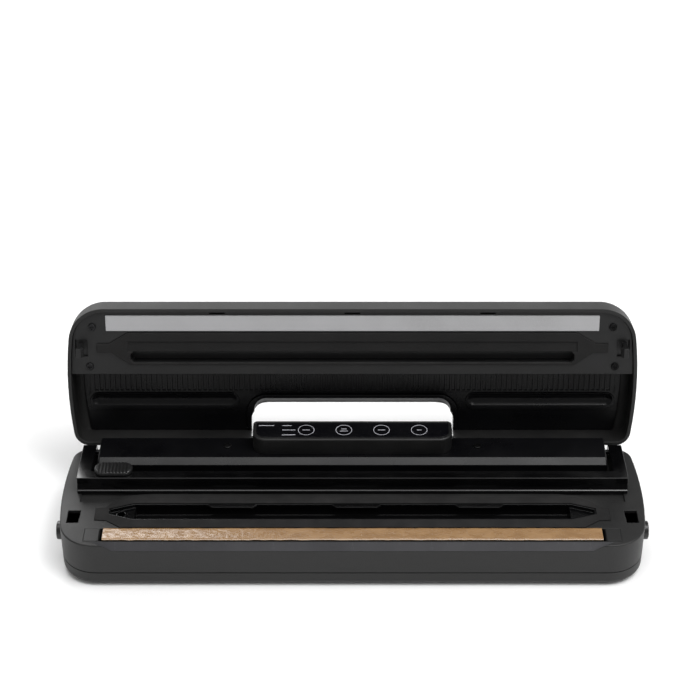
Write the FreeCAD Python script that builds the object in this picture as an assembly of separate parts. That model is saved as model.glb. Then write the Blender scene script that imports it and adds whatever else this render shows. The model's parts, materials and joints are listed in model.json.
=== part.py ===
import FreeCAD, Part
import math
import os

# Bar vacuum sealer for kitchen bags, modelled in millimetres in its resting position.
# +Z is up, +X is to the user's right and +Y points away from the user.
# The origin lies on the table under the middle of the case, and the lid stands open.

# ---- Case ----
BODY_WIDTH = 378.8          # widest place, across the bulged sides
BODY_DEPTH = 98.2           # front wall to rear wall
SIDE_RADIUS = 260.0         # large radius of each bulged side
SIDE_CENTRE_Y = 6.0         # where the sides are widest
FRONT_CORNER = 24.0
REAR_CORNER = 10.0
DECK_Z = 34.0               # working surface of the base
SEAM_Z = 11.0               # where the upper case meets the bottom pan
FOOT_HEIGHT = 1.2           # gap between the pan and the table
WALL = 2.5
PAN_EDGE = 4.0              # rounded lower edge of the pan
DECK_EDGE = 1.0             # small rounding round the deck
SEAM_GROOVE = 0.5
LID_HEIGHT = 24.7           # lid top above the deck when closed
RIM_GAP = 0.5               # between the closed lid's rim and the deck
LID_EDGE = 12.0             # large rounding of the lid's front and sides
LID_REAR_EDGE = 4.0
CLEARANCE = 0.3             # between pieces that move past each other
SLIP = 0.08                 # radial clearance of pins and shafts

# ---- Hinge ----
HINGE_OFFSET = 1.5          # axis behind the rear walls, at deck height
LID_OPEN = 103.26           # how far the lid stands open
HINGE_X = 88.0
KNUCKLE_WIDTH = 13.0
EAR_WIDTH = 5.0
KNUCKLE_RADIUS = 3.6
HINGE_PIN_RADIUS = 1.5
KNUCKLE_GAP = 0.5

# ---- Seal bar and ruler edge ----
CHAMFER_RUN = 3.7           # depth of the sloping front edge
CHAMFER_DROP = 4.2          # height of the sloping front edge
RULER_TOP_HALF = 165.0
RULER_LOW_HALF = 152.0
RULER_THICK = 0.5
SEAL_LAND = 0.9             # deck left between neighbouring recesses
SEAL_WIDTH = 11.4
SEAL_LENGTH = 317.0
SEAL_RISE = 1.3             # crown of the tape above the deck
SEAL_SLOT_DEPTH = 9.0
TAPE_THICK = 0.35
TAPE_SKIRT = 3.2
HEATER_WIDTH = 5.0
HEATER_THICK = 0.25
HEATER_GAP = 0.42           # soft layer between heater and tape
END_CAP_LENGTH = 9.5
END_CAP_GAP = 2.0
END_CAP_THICK = 1.2

# ---- Vacuum chamber ----
GASKET_DEPTH = 30.0         # near edge to far edge of the ring
GASKET_TIP = 165.5
GASKET_SEAT = 1.6           # depth of its groove
GASKET_PROUD = 0.6
CHAMBER_WIDTH = 13.6
CHAMBER_SHOULDER = 141.5
CHAMBER_TIP = 155.8
CHAMBER_DEPTH = 8.5
TROUGH_WALL = 1.2
BAG_STOPS = (-78.0, 2.5, 82.0)
BAG_STOP_LENGTH = 32.0
BAG_STOP_REACH = 2.6
BAG_STOP_THICK = 1.2
PORT_X = -149.0
PORT_RADIUS = 2.3
PORT_RING = 3.4

# ---- Latches and release buttons ----
LATCH_INSET = 10.2          # middle of each socket from the widest side
LATCH_BACK = 28.4           # middle of each socket from the front wall
SOCKET_WIDTH = 8.0
SOCKET_DEPTH = 12.0
HOOK_WIDTH = 4.6
HOOK_DEPTH = 6.6
HOOK_REACH = 7.0            # tip of the hook below the deck when closed
BUTTON_RADIUS = 6.0
BUTTON_PROUD = 2.6
BUTTON_TRAVEL = 2.0
BUTTON_Z = 22.7
STEM_RADIUS = 2.4
CATCH_WIDTH = 6.4
CATCH_FINGER = 3.2
CATCH_THICK = 2.2
SPRING_RADIUS = 2.0
SPRING_WIRE = 0.5
SPRING_LENGTH = 9.0
SPRING_TURNS = 6

# ---- Rear housing and control pod ----
HOUSING_HALF = 168.0
HOUSING_FRONT = 28.5        # front wall of the housing from the rear wall
HOUSING_REAR_GAP = 3.1
HOUSING_HEIGHT = 12.0
HOUSING_SLOPE_RUN = 4.8
HOUSING_SLOPE_DROP = 3.0
POD_HALF = 66.0
POD_FRONT = 20.7
POD_CORNER = 9.0
POD_REAR_CORNER = 3.0
POD_REAR_GAP = 0.1
POD_SINK = 0.4              # pod's top below the lid's top when closed
POD_EDGE = 1.2
PANEL_THICK = 1.0
PANEL_MARGIN = 1.6
WALL_THIN = 2.0

# ---- Cutter ----
FRAME_HALF = 179.5          # outside of the frame's arms
FRAME_ARM = 9.0
FRAME_FRONT = 47.3          # foot of the bar in front of the rear wall
FRAME_HEIGHT = 11.3
FRAME_BAR = 9.6
FRAME_LEAN = 2.2
FRAME_LIP = 1.0
FRAME_LIP_HEIGHT = 2.2
FRAME_PIVOT_BACK = 9.6      # pivot axis in front of the rear wall
FRAME_PIVOT_RISE = 5.2
PIVOT_PIN_RADIUS = 1.6
RAIL_THICK = 2.0
RAIL_RISE = 1.5
BLADE_SLOT = 1.6
KNOB_LENGTH = 25.0
KNOB_DEPTH = 12.0
KNOB_OVERHANG = 4.65        # how far the cap's middle stands in front of the blade
NECK_DEPTH = 5.0
KNOB_START_X = -156.0
KNOB_RISE = 14.6
KNOB_CAP = 2.7
KNOB_RIBS = 9
CARRIAGE_LENGTH = 14.0

# ---- Lid inside ----
PLATE_LEVEL = 2.5           # underside of the lid plate above the deck when closed
PLATE_THICK = 2.0
PLATE_BACK = 46.9           # rear edge of the lid plate from the front wall
STRIP_LENGTH = 325.0
STRIP_WIDTH = 10.9
STRIP_THICK = 3.3
STRIP_LEVEL = 1.7
LID_GASKET_LEVEL = 1.3
LID_GASKET_DEPTH = 22.6
LID_GASKET_STEP = 0.7        # how far its middle band lies above its lips
LID_CHAMBER_WIDTH = 8.1
LID_CHAMBER_SHIFT = 1.4      # middle behind the base chamber's middle
LID_CHAMBER_HALF = 147.0
LID_CHAMBER_DEPTH = 8.0
LINER_LEVEL = 20.0
LINER_THICK = 1.2
LINER_SIDE = 5.6            # gap from the side walls to the liner's flat
RIB_PITCH = 3.5
RIB_WIDTH = 1.3
RIB_DROP = 1.0
RIB_LENGTH = 17.8
RIB_END = 1.4               # closed end of the grooves between the ribs
BEAD_START = 77.0
BEAD_END = 178.0
BEAD_BACK = 24.6            # middle of the bead from the rear wall
BEAD_WIDTH = 12.0
BEAD_DROP = 1.2
BEAD_GROOVE = 8.6
BEAD_GROOVE_DEPTH = 1.7
BEAD_GROOVE_SHIFT = 1.3
WINDOW_HALF = 68.7
WINDOW_REACH = 21.2         # window's front edge from the rear wall
WINDOW_CORNER = 10.0
WINDOW_FRAME_WALL = 2.8
WINDOW_FRAME_DROP = 4.2
WINDOW_COLLAR = 8.2         # front face of the collar from the window's front edge
WINDOW_FLARE = 6.0
WINDOW_SILL_DROP = 1.5      # edge of the notch in the lid's rear wall below the housing's top
FLARE_BACK = 12.0
FLARE_CORNER = 8.0

# ---- Feet, screws and what lies inside ----
FOOT_RADIUS = 6.0
FOOT_SEAT = 1.2
SCREW_RADIUS = 1.4
SCREW_HEAD = 2.6
SCREW_HEAD_THICK = 1.6
BOSS_RADIUS = 3.2
MOTOR_RADIUS = 12.0
MOTOR_LENGTH = 33.0
PUMP_X = -47.0
SHAFT_RADIUS = 1.25
HOSE_RADIUS = 2.5
HOSE_BORE = 1.5
LEAD_RADIUS = 0.8
LEAD_X = 150.0
INLET_X = 140.0
INLET_WIDTH = 20.0
INLET_HEIGHT = 11.0
INLET_DEPTH = 16.0
INLET_Z = 20.5
INLET_FACE = 0.6
INLET_PIN = 1.15
INLET_PIN_GAP = 8.0
INLET_CUP = 4.2

# ---- Places worked out from the sizes above ----
HALF_WIDTH = BODY_WIDTH / 2
FRONT_Y = -BODY_DEPTH / 2
REAR_Y = BODY_DEPTH / 2
HINGE_Y = REAR_Y + HINGE_OFFSET
LID_TOP_Z = DECK_Z + LID_HEIGHT
SIDE_CENTRE_X = HALF_WIDTH - SIDE_RADIUS
CHAMFER_Y = FRONT_Y + CHAMFER_RUN
SEAL_Y0 = CHAMFER_Y + SEAL_LAND
SEAL_Y1 = SEAL_Y0 + SEAL_WIDTH + 2 * CLEARANCE
SEAL_MID_Y = (SEAL_Y0 + SEAL_Y1) / 2
GASKET_Y0 = SEAL_Y1 + SEAL_LAND
GASKET_Y1 = GASKET_Y0 + GASKET_DEPTH
CHAMBER_MID_Y = (GASKET_Y0 + GASKET_Y1) / 2 + 0.7
LATCH_X = HALF_WIDTH - LATCH_INSET
LATCH_Y = FRONT_Y + LATCH_BACK
HOUSING_Y0 = REAR_Y - HOUSING_FRONT
HOUSING_Y1 = REAR_Y - HOUSING_REAR_GAP
HOUSING_Z = DECK_Z + HOUSING_HEIGHT
POD_Y0 = REAR_Y - POD_FRONT
POD_Y1 = REAR_Y - POD_REAR_GAP
POD_TOP_Z = LID_TOP_Z - POD_SINK
FRAME_Y0 = REAR_Y - FRAME_FRONT
PIVOT_Y = REAR_Y - FRAME_PIVOT_BACK
PIVOT_Z = DECK_Z + FRAME_PIVOT_RISE
FRAME_Z0 = DECK_Z + CLEARANCE
BAR_Y1 = FRAME_Y0 + FRAME_BAR
RAIL_Y1 = HOUSING_Y0 - CLEARANCE
RAIL_Z1 = FRAME_Z0 + RAIL_RISE + RAIL_THICK
KNOB_Y = (BAR_Y1 + RAIL_Y1) / 2 + 0.4
PLATE_Y1 = FRONT_Y + PLATE_BACK
WINDOW_Y0 = REAR_Y - WINDOW_REACH
WINDOW_Y1 = REAR_Y - WALL
DECK_UNDER = DECK_Z - WALL
PAN_Z = FOOT_HEIGHT
PAN_FLOOR = PAN_Z + WALL
PUMP_Y = REAR_Y - 15.0
PUMP_Z = PAN_FLOOR + 15.3
NIPPLE_Y = PUMP_Y - 15.0
NIPPLE_Z = 16.0
LIP_X = LATCH_X - HOOK_WIDTH / 2 - 2 * CLEARANCE
CATCH_X = LIP_X - CATCH_FINGER
SPRING_STOP_X = CATCH_X - SPRING_LENGTH
HOSE_Z = DECK_Z - CHAMBER_DEPTH - TROUGH_WALL - 10.0 + HOSE_RADIUS + 0.5


def vec(x, y, z):
    return FreeCAD.Vector(x, y, z)


def box(x0, x1, y0, y1, z0, z1):
    return Part.makeBox(x1 - x0, y1 - y0, z1 - z0, vec(x0, y0, z0))


def disc(radius, height, x, y, z, direction=(0, 0, 1)):
    return Part.makeCylinder(radius, height, vec(x, y, z), vec(*direction))


def xy_prism(points, z0, z1):
    corners = [vec(x, y, z0) for x, y in points]
    wire = Part.makePolygon(corners + corners[:1])
    return Part.Face(wire).extrude(vec(0, 0, z1 - z0))


def yz_prism(points, x0, x1):
    corners = [vec(x0, y, z) for y, z in points]
    wire = Part.makePolygon(corners + corners[:1])
    return Part.Face(wire).extrude(vec(x1 - x0, 0, 0))


def mirrored(shape):
    return shape.mirror(vec(0, 0, 0), vec(1, 0, 0))


def both_sides(shape):
    return [shape, mirrored(shape)]


def joined(shapes):
    result = shapes[0]
    if len(shapes) > 1:
        result = result.fuse(shapes[1:])
    return result.removeSplitter()


def without(shape, cutters):
    return shape.cut(cutters).removeSplitter()


def arc_edge(cx, cy, radius, start, end, z):
    angles = (start, (start + end) / 2, end)
    spots = [vec(cx + radius * math.cos(a), cy + radius * math.sin(a), z) for a in angles]
    return Part.Arc(*spots).toShape()


def body_wire(inset, z, rear_y=REAR_Y):
    """Case outline moved inward: straight front and rear, bulged sides, round corners."""
    side = SIDE_RADIUS - inset
    front = FRONT_CORNER - inset
    rear = max(REAR_CORNER - inset, 1.0)
    front_cy = FRONT_Y + inset + front
    rear_cy = rear_y - inset - rear
    front_cx = SIDE_CENTRE_X + math.sqrt((side - front) ** 2 - (front_cy - SIDE_CENTRE_Y) ** 2)
    rear_cx = SIDE_CENTRE_X + math.sqrt((side - rear) ** 2 - (rear_cy - SIDE_CENTRE_Y) ** 2)
    low = math.atan2(front_cy - SIDE_CENTRE_Y, front_cx - SIDE_CENTRE_X)
    high = math.atan2(rear_cy - SIDE_CENTRE_Y, rear_cx - SIDE_CENTRE_X)
    front_line = Part.makeLine(vec(-front_cx, front_cy - front, z), vec(front_cx, front_cy - front, z))
    rear_line = Part.makeLine(vec(rear_cx, rear_cy + rear, z), vec(-rear_cx, rear_cy + rear, z))
    right = [
        arc_edge(front_cx, front_cy, front, -math.pi / 2, low, z),
        arc_edge(SIDE_CENTRE_X, SIDE_CENTRE_Y, side, low, high, z),
        arc_edge(rear_cx, rear_cy, rear, high, math.pi / 2, z),
    ]
    left = [
        arc_edge(-rear_cx, rear_cy, rear, math.pi / 2, math.pi - high, z),
        arc_edge(-SIDE_CENTRE_X, SIDE_CENTRE_Y, side, math.pi - high, math.pi - low, z),
        arc_edge(-front_cx, front_cy, front, math.pi - low, 1.5 * math.pi, z),
    ]
    return Part.Wire([front_line] + right + [rear_line] + left)


def body_prism(inset, z0, z1, rear_y=REAR_Y):
    return Part.Face(body_wire(inset, z0, rear_y)).extrude(vec(0, 0, z1 - z0))


def side_x(y, inset=0.0):
    """How far out the case's bulged side lies at y."""
    return SIDE_CENTRE_X + math.sqrt((SIDE_RADIUS - inset) ** 2 - (y - SIDE_CENTRE_Y) ** 2)


def edges_at(shape, z):
    return [e for e in shape.Edges if abs(e.BoundBox.ZMin - z) < 0.01 and abs(e.BoundBox.ZMax - z) < 0.01]


def rounded_at(shape, z, radius):
    return shape.makeFillet(radius, edges_at(shape, z))


def rounded_uprights(shape, radius):
    uprights = [e for e in shape.Edges
                if e.BoundBox.ZLength > 0.5 and e.BoundBox.XLength + e.BoundBox.YLength < 0.01]
    return shape.makeFillet(radius, uprights)


def grown(points, amount):
    """Offset a closed outline of straight runs, keeping its corners sharp."""
    corners = [vec(x, y, 0) for x, y in points]
    wire = Part.makePolygon(corners + corners[:1])
    moved = wire.makeOffset2D(amount, 2)
    return [(v.Point.x, v.Point.y) for v in moved.OrderedVertexes]


def with_mirror(right_half):
    """Outline from its right half, listed from the near edge to the far edge."""
    return right_half + [(-x, y) for x, y in reversed(right_half)]


def open_lid(shape):
    """Turn a lid piece from closed to its open resting place."""
    moved = shape.copy()
    moved.rotate(vec(0, HINGE_Y, DECK_Z), vec(1, 0, 0), -LID_OPEN)
    return moved


def save(name, shape):
    solids = shape.Solids
    for solid in solids:
        if not (solid.isValid() and solid.isClosed()):
            raise ValueError(name + " has a faulty solid")
    whole = solids[0] if len(solids) == 1 else Part.makeCompound(solids)
    whole.exportStep(os.path.join("parts", name + ".step"))
    print(name, len(solids), round(whole.Volume, 1))


# ---- Outlines shared by pieces that fit each other ----

def gasket_outline():
    half = [
        (GASKET_TIP - 17.0, GASKET_Y0),
        (GASKET_TIP - 7.5, GASKET_Y0 + 6.7),
        (GASKET_TIP, GASKET_Y0 + 7.2),
        (GASKET_TIP, GASKET_Y0 + 18.9),
        (GASKET_TIP - 6.0, GASKET_Y0 + 19.4),
        (GASKET_TIP - 10.2, GASKET_Y1 - 5.2),
        (GASKET_TIP - 20.7, GASKET_Y1),
    ]
    return with_mirror(half)


def chamber_outline():
    reach = CHAMBER_WIDTH / 2
    half = [
        (CHAMBER_SHOULDER, CHAMBER_MID_Y - reach),
        (CHAMBER_TIP, CHAMBER_MID_Y - 2.0),
        (CHAMBER_TIP, CHAMBER_MID_Y + 2.0),
        (CHAMBER_SHOULDER, CHAMBER_MID_Y + reach),
    ]
    return with_mirror(half)


def lid_chamber_outline():
    middle = CHAMBER_MID_Y + LID_CHAMBER_SHIFT
    reach = LID_CHAMBER_WIDTH / 2
    corner = 2.0
    half = [
        (LID_CHAMBER_HALF - corner, middle - reach),
        (LID_CHAMBER_HALF, middle - reach + corner),
        (LID_CHAMBER_HALF, middle + reach - corner),
        (LID_CHAMBER_HALF - corner, middle + reach),
    ]
    return with_mirror(half)


def lid_gasket_outline():
    near = GASKET_Y0
    far = near + LID_GASKET_DEPTH
    half = [
        (LID_CHAMBER_HALF + 1.6, near),
        (LID_CHAMBER_HALF + 13.9, near + 7.5),
        (LID_CHAMBER_HALF + 22.0, near + 7.5),
        (LID_CHAMBER_HALF + 22.0, near + 13.8),
        (LID_CHAMBER_HALF + 12.5, near + 13.8),
        (LID_CHAMBER_HALF, far),
    ]
    return with_mirror(half)


def base_boss_places():
    corner_x = HALF_WIDTH - 20.0
    places = [(x, y) for x in (-corner_x, corner_x) for y in (FRONT_Y + 14.0, REAR_Y - 14.0)]
    return places + [(0.0, SEAL_Y1 + 5.2), (0.0, REAR_Y - 8.0)]


def lid_boss_places():
    front = (HALF_WIDTH - 17.8, FRONT_Y + 13.4)
    rear = (HALF_WIDTH - 15.1, PLATE_Y1 - 5.5)
    return [(side * x, y) for x, y in (front, rear) for side in (-1, 1)]


# ---- Base ----

def hinge_clearance(x0, x1):
    return disc(KNUCKLE_RADIUS + KNUCKLE_GAP, x1 - x0, x0, HINGE_Y, DECK_Z, (1, 0, 0))


def base_ears():
    """Two ears at each hinge, carried by the rear wall."""
    ears = []
    inner = KNUCKLE_WIDTH / 2 + KNUCKLE_GAP
    for centre in (-HINGE_X, HINGE_X):
        for x0 in (centre - inner - EAR_WIDTH, centre + inner):
            barrel = disc(KNUCKLE_RADIUS, EAR_WIDTH, x0, HINGE_Y, DECK_Z, (1, 0, 0))
            web = [
                (REAR_Y - 1.0, DECK_Z - 9.0),
                (REAR_Y - 1.0, DECK_Z),
                (HINGE_Y + KNUCKLE_RADIUS, DECK_Z),
                (HINGE_Y + KNUCKLE_RADIUS, DECK_Z - 2.0),
            ]
            ear = joined([barrel, yz_prism(web, x0, x0 + EAR_WIDTH)])
            bore = disc(HINGE_PIN_RADIUS, EAR_WIDTH + 2, x0 - 1, HINGE_Y, DECK_Z, (1, 0, 0))
            ears.append(ear.cut(bore))
    return ears


def ruler_seat(thick):
    """Wedge over the sloping front edge, lifted or sunk square to the slope."""
    slope = math.hypot(CHAMFER_RUN, CHAMFER_DROP)
    normal = vec(0, -CHAMFER_DROP / slope, CHAMFER_RUN / slope)
    corners = [
        vec(-RULER_TOP_HALF, CHAMFER_Y, DECK_Z),
        vec(RULER_TOP_HALF, CHAMFER_Y, DECK_Z),
        vec(RULER_LOW_HALF, FRONT_Y, DECK_Z - CHAMFER_DROP),
        vec(-RULER_LOW_HALF, FRONT_Y, DECK_Z - CHAMFER_DROP),
    ]
    face = Part.Face(Part.makePolygon(corners + corners[:1]))
    return face.extrude(normal * thick)


def base_shell():
    outer = body_prism(0, SEAM_Z, DECK_Z)
    outer = rounded_at(outer, DECK_Z, DECK_EDGE)
    cavity = body_prism(WALL, SEAM_Z - 1, DECK_UNDER)
    shell = outer.cut(cavity)
    slot_half = SEAL_LENGTH / 2 + END_CAP_GAP
    slot_floor = DECK_Z - SEAL_SLOT_DEPTH
    tub = box(-slot_half - WALL_THIN, slot_half + WALL_THIN, FRONT_Y + WALL / 2, SEAL_Y1 + WALL_THIN,
              slot_floor - WALL_THIN, DECK_UNDER + 0.5)
    adds = [tub] + base_ears()
    for x, y in base_boss_places():
        adds.append(disc(BOSS_RADIUS, DECK_UNDER + 0.5 - SEAM_Z, x, y, SEAM_Z))
    for side in (-1, 1):
        stop_x = side * SPRING_STOP_X
        x0, x1 = sorted((stop_x, stop_x - side * WALL_THIN))
        adds.append(box(x0, x1, LATCH_Y - 5, LATCH_Y + 5, BUTTON_Z - 5, DECK_UNDER + 0.5))
    shell = joined([shell] + adds)
    cuts = [box(-slot_half, slot_half, SEAL_Y0, SEAL_Y1, slot_floor, DECK_Z + 1)]
    cuts.append(xy_prism(gasket_outline(), DECK_Z - GASKET_SEAT, DECK_Z + 1))
    cuts.append(xy_prism(grown(chamber_outline(), TROUGH_WALL), DECK_UNDER - 1, DECK_Z + 1))
    cuts.append(ruler_seat(6.0))
    cuts.append(ruler_seat(-RULER_THICK))
    cuts += end_cap_blocks(END_CAP_THICK, 1.0)
    for side in (-1, 1):
        socket = side * LATCH_X
        cuts.append(box(socket - SOCKET_WIDTH / 2, socket + SOCKET_WIDTH / 2, LATCH_Y - SOCKET_DEPTH / 2,
                        LATCH_Y + SOCKET_DEPTH / 2, DECK_UNDER - 1, DECK_Z + 1))
        x0, x1 = sorted((side * (LATCH_X + 4), side * (HALF_WIDTH + 2)))
        cuts.append(disc(BUTTON_RADIUS + CLEARANCE, x1 - x0, x0, LATCH_Y, BUTTON_Z, (1, 0, 0)))
        finger = [
            (side * (FRAME_HALF - 2.5), FRAME_Y0 + 1.0),
            (side * (FRAME_HALF - 2.5), FRAME_Y0 - 7.5),
            (side * 160.5, FRAME_Y0 - 7.5),
            (side * 148.0, FRAME_Y0 - 1.4),
            (side * 126.0, FRAME_Y0 + 1.0),
        ]
        cuts.append(xy_prism(finger, DECK_Z - 1.4, DECK_Z + 1))
        knuckle_x = side * HINGE_X
        reach = KNUCKLE_WIDTH / 2 + KNUCKLE_GAP
        cuts.append(hinge_clearance(knuckle_x - reach, knuckle_x + reach))
    for x, y in base_boss_places():
        cuts.append(disc(SCREW_RADIUS, 14, x, y, SEAM_Z - 1))
    cuts.append(box(-HOUSING_HALF + 12, HOUSING_HALF - 12, HOUSING_Y0 + 5, REAR_Y - 14,
                    DECK_UNDER - 1, DECK_Z + 1))
    cuts.append(box(-HOUSING_HALF + 8, HOUSING_HALF - 8, KNOB_Y - 1.5, KNOB_Y + 1.5,
                    DECK_Z - 1.2, DECK_Z + 1))
    cuts.append(inlet_block(CLEARANCE / 2, 1))
    for x in (-LEAD_X, LEAD_X):
        cuts.append(disc(LEAD_RADIUS + 0.1, 4, x, SEAL_MID_Y, slot_floor - 3))
    cuts.append(body_prism(0, SEAM_Z, SEAM_Z + SEAM_GROOVE).cut(body_prism(SEAM_GROOVE, SEAM_Z, SEAM_Z + 1)))
    return without(shell, cuts)


def end_cap_blocks(depth, above, margin=0.0):
    x0 = SEAL_LENGTH / 2 + END_CAP_GAP + 0.4 + margin
    cap = box(x0, x0 + END_CAP_LENGTH - 2 * margin, SEAL_Y0 + margin, SEAL_Y1 - margin,
              DECK_Z - depth, DECK_Z + above)
    return both_sides(cap)


def foot_places():
    """One near each corner and one in the middle, where the lid is pressed down."""
    corners = [(x, y) for x in (-HALF_WIDTH + 32, HALF_WIDTH - 32) for y in (FRONT_Y + 18, REAR_Y - 18)]
    return corners + [(0.0, 0.0)]


def bottom_pan():
    outer = body_prism(0, PAN_Z, SEAM_Z)
    outer = rounded_at(outer, PAN_Z, PAN_EDGE)
    cavity = rounded_at(body_prism(WALL, PAN_FLOOR, SEAM_Z + 1), PAN_FLOOR, PAN_EDGE - WALL)
    pan = outer.cut(cavity)
    adds = [disc(BOSS_RADIUS, SEAM_Z - PAN_FLOOR + 0.5, x, y, PAN_FLOOR - 0.5) for x, y in base_boss_places()]
    pan = joined([pan] + adds)
    cuts = []
    for x, y in foot_places():
        cuts.append(disc(FOOT_RADIUS, FOOT_SEAT, x, y, PAN_Z))
    for x, y in base_boss_places():
        cuts.append(disc(SCREW_RADIUS + 0.2, SEAM_Z, x, y, 0))
        cuts.append(disc(SCREW_HEAD + 0.3, SCREW_HEAD_THICK + 0.6, x, y, PAN_Z))
    return without(pan, cuts)


def rubber_feet():
    height = FOOT_HEIGHT + FOOT_SEAT
    pads = []
    for x, y in foot_places():
        pad = disc(FOOT_RADIUS, height, x, y, 0)
        pads.append(rounded_at(pad, 0, 0.5))
    return Part.makeCompound(pads)


def bottom_screws():
    screws = []
    for x, y in base_boss_places():
        head = disc(SCREW_HEAD, SCREW_HEAD_THICK, x, y, PAN_Z + 0.6)
        shank = disc(SCREW_RADIUS, SEAM_Z + 10, x, y, PAN_Z + 0.6)
        recess = joined([box(x - 1.6, x + 1.6, y - 0.35, y + 0.35, PAN_Z, PAN_Z + 1.5),
                         box(x - 0.35, x + 0.35, y - 1.6, y + 1.6, PAN_Z, PAN_Z + 1.5)])
        screws.append(joined([head, shank]).cut(recess))
    return Part.makeCompound(screws)


def hinge_pins():
    half = KNUCKLE_WIDTH / 2 + KNUCKLE_GAP + EAR_WIDTH
    pin = disc(HINGE_PIN_RADIUS, 2 * half, HINGE_X - half, HINGE_Y, DECK_Z, (1, 0, 0))
    return Part.makeCompound(both_sides(pin))


def ruler_strip():
    return ruler_seat(-RULER_THICK)


# ---- Seal bar ----

def seal_bar_carrier():
    half = SEAL_LENGTH / 2 - 1.0
    width = SEAL_WIDTH / 2 - TAPE_THICK
    top = DECK_Z + SEAL_RISE - TAPE_THICK - HEATER_THICK - HEATER_GAP
    profile = [
        (SEAL_MID_Y - width, DECK_Z - SEAL_SLOT_DEPTH),
        (SEAL_MID_Y + width, DECK_Z - SEAL_SLOT_DEPTH),
        (SEAL_MID_Y + width, DECK_Z - 1.2),
        (SEAL_MID_Y + HEATER_WIDTH / 2, top),
        (SEAL_MID_Y - HEATER_WIDTH / 2, top),
        (SEAL_MID_Y - width, DECK_Z - 1.2),
    ]
    return yz_prism(profile, -half, half)


def heating_element():
    half = SEAL_LENGTH / 2 - 4.0
    top = DECK_Z + SEAL_RISE - TAPE_THICK - HEATER_GAP
    return box(-half, half, SEAL_MID_Y - HEATER_WIDTH / 2, SEAL_MID_Y + HEATER_WIDTH / 2,
               top - HEATER_THICK, top)


def tape_section(inset, crown, x):
    """Closed arch section of the tape, moved inward by inset."""
    half = SEAL_WIDTH / 2 - inset
    shoulder = DECK_Z - 0.7
    low = DECK_Z - TAPE_SKIRT
    left = vec(x, SEAL_MID_Y - half, shoulder)
    right = vec(x, SEAL_MID_Y + half, shoulder)
    arch = Part.Arc(left, vec(x, SEAL_MID_Y, DECK_Z + crown), right).toShape()
    edges = [
        arch,
        Part.makeLine(right, vec(x, SEAL_MID_Y + half, low)),
        Part.makeLine(vec(x, SEAL_MID_Y + half, low), vec(x, SEAL_MID_Y - half, low)),
        Part.makeLine(vec(x, SEAL_MID_Y - half, low), left),
    ]
    return Part.Face(Part.Wire(edges))


def ptfe_tape():
    length = SEAL_LENGTH
    outer = tape_section(0, SEAL_RISE, -length / 2).extrude(vec(length, 0, 0))
    inner = tape_section(TAPE_THICK, SEAL_RISE - TAPE_THICK, -length / 2 - 1).extrude(vec(length + 2, 0, 0))
    below = box(-length, length, SEAL_Y0, SEAL_Y1, DECK_Z - TAPE_SKIRT - 1, DECK_Z - TAPE_SKIRT + 0.01)
    return without(outer, [inner, below])


def seal_bar_clamps():
    return Part.makeCompound(end_cap_blocks(END_CAP_THICK, 0.1, 0.15))


# ---- Chamber ----

def base_gasket():
    ring = xy_prism(gasket_outline(), DECK_Z - GASKET_SEAT, DECK_Z + GASKET_PROUD)
    return without(ring, [xy_prism(grown(chamber_outline(), TROUGH_WALL), DECK_Z - 5, DECK_Z + 5)])


def vacuum_trough():
    top = DECK_Z + 0.2
    low = DECK_Z - CHAMBER_DEPTH
    outer = xy_prism(grown(chamber_outline(), TROUGH_WALL), low - TROUGH_WALL, top)
    half = CHAMBER_SHOULDER - 1.0
    reach = CHAMBER_WIDTH / 2
    deep = box(-half, half, CHAMBER_MID_Y - reach, CHAMBER_MID_Y + reach, low, top + 1)
    shallow = xy_prism(chamber_outline(), DECK_Z - 2.5, top + 1)
    trough = outer.cut([deep, shallow])
    far = CHAMBER_MID_Y + reach
    stops = []
    for x in BAG_STOPS:
        half_stop = BAG_STOP_LENGTH / 2
        points = [(x - half_stop, far + 0.2), (x - half_stop + 3, far - BAG_STOP_REACH),
                  (x + half_stop - 3, far - BAG_STOP_REACH), (x + half_stop, far + 0.2)]
        stops.append(xy_prism(points, top - BAG_STOP_THICK, top))
    trough = joined([trough] + stops)
    return without(trough, [disc(PORT_RING, 20, PORT_X, CHAMBER_MID_Y, low - 10)])


def suction_port():
    """Round port in the trough's tip, with a barbed elbow for the hose under it."""
    top = DECK_Z - 1.9
    low = DECK_Z - CHAMBER_DEPTH - TROUGH_WALL - 10.0
    ring = disc(PORT_RING, top - low, PORT_X, CHAMBER_MID_Y, low)
    neck_z = HOSE_Z
    neck = disc(HOSE_BORE - 0.05, 12.0, PORT_X, CHAMBER_MID_Y, neck_z, (0, 1, 0))
    body = joined([ring, neck])
    bore = disc(PORT_RADIUS, top - neck_z + 1, PORT_X, CHAMBER_MID_Y, neck_z)
    air = disc(HOSE_BORE - 0.6, 13.0, PORT_X, CHAMBER_MID_Y, neck_z, (0, 1, 0))
    return without(body, [bore, air])


# ---- Latch release ----

def release_button(side):
    outer_x = side_x(LATCH_Y) + BUTTON_PROUD
    inner_x = LATCH_X + SOCKET_WIDTH / 2 + 0.6
    cap = disc(BUTTON_RADIUS, 6.5, outer_x - 6.5, LATCH_Y, BUTTON_Z, (1, 0, 0))
    rim = [e for e in cap.Edges if e.BoundBox.XMin > outer_x - 0.01]
    cap = cap.makeFillet(0.8, rim)
    stem_end = LATCH_X - 1.0
    stem = disc(STEM_RADIUS, outer_x - 2 - stem_end, stem_end, LATCH_Y, BUTTON_Z - 3.0, (1, 0, 0))
    notch = box(outer_x - 1.2, outer_x + 1, LATCH_Y - 1.2, LATCH_Y + 1.2, BUTTON_Z - 2.6, BUTTON_Z + 2.6)
    trim = box(LATCH_X, inner_x - CLEARANCE, LATCH_Y - 8, LATCH_Y + 8, BUTTON_Z - 0.5, BUTTON_Z + 8)
    button = joined([cap, stem]).cut([notch, trim])
    return button if side > 0 else mirrored(button)


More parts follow.
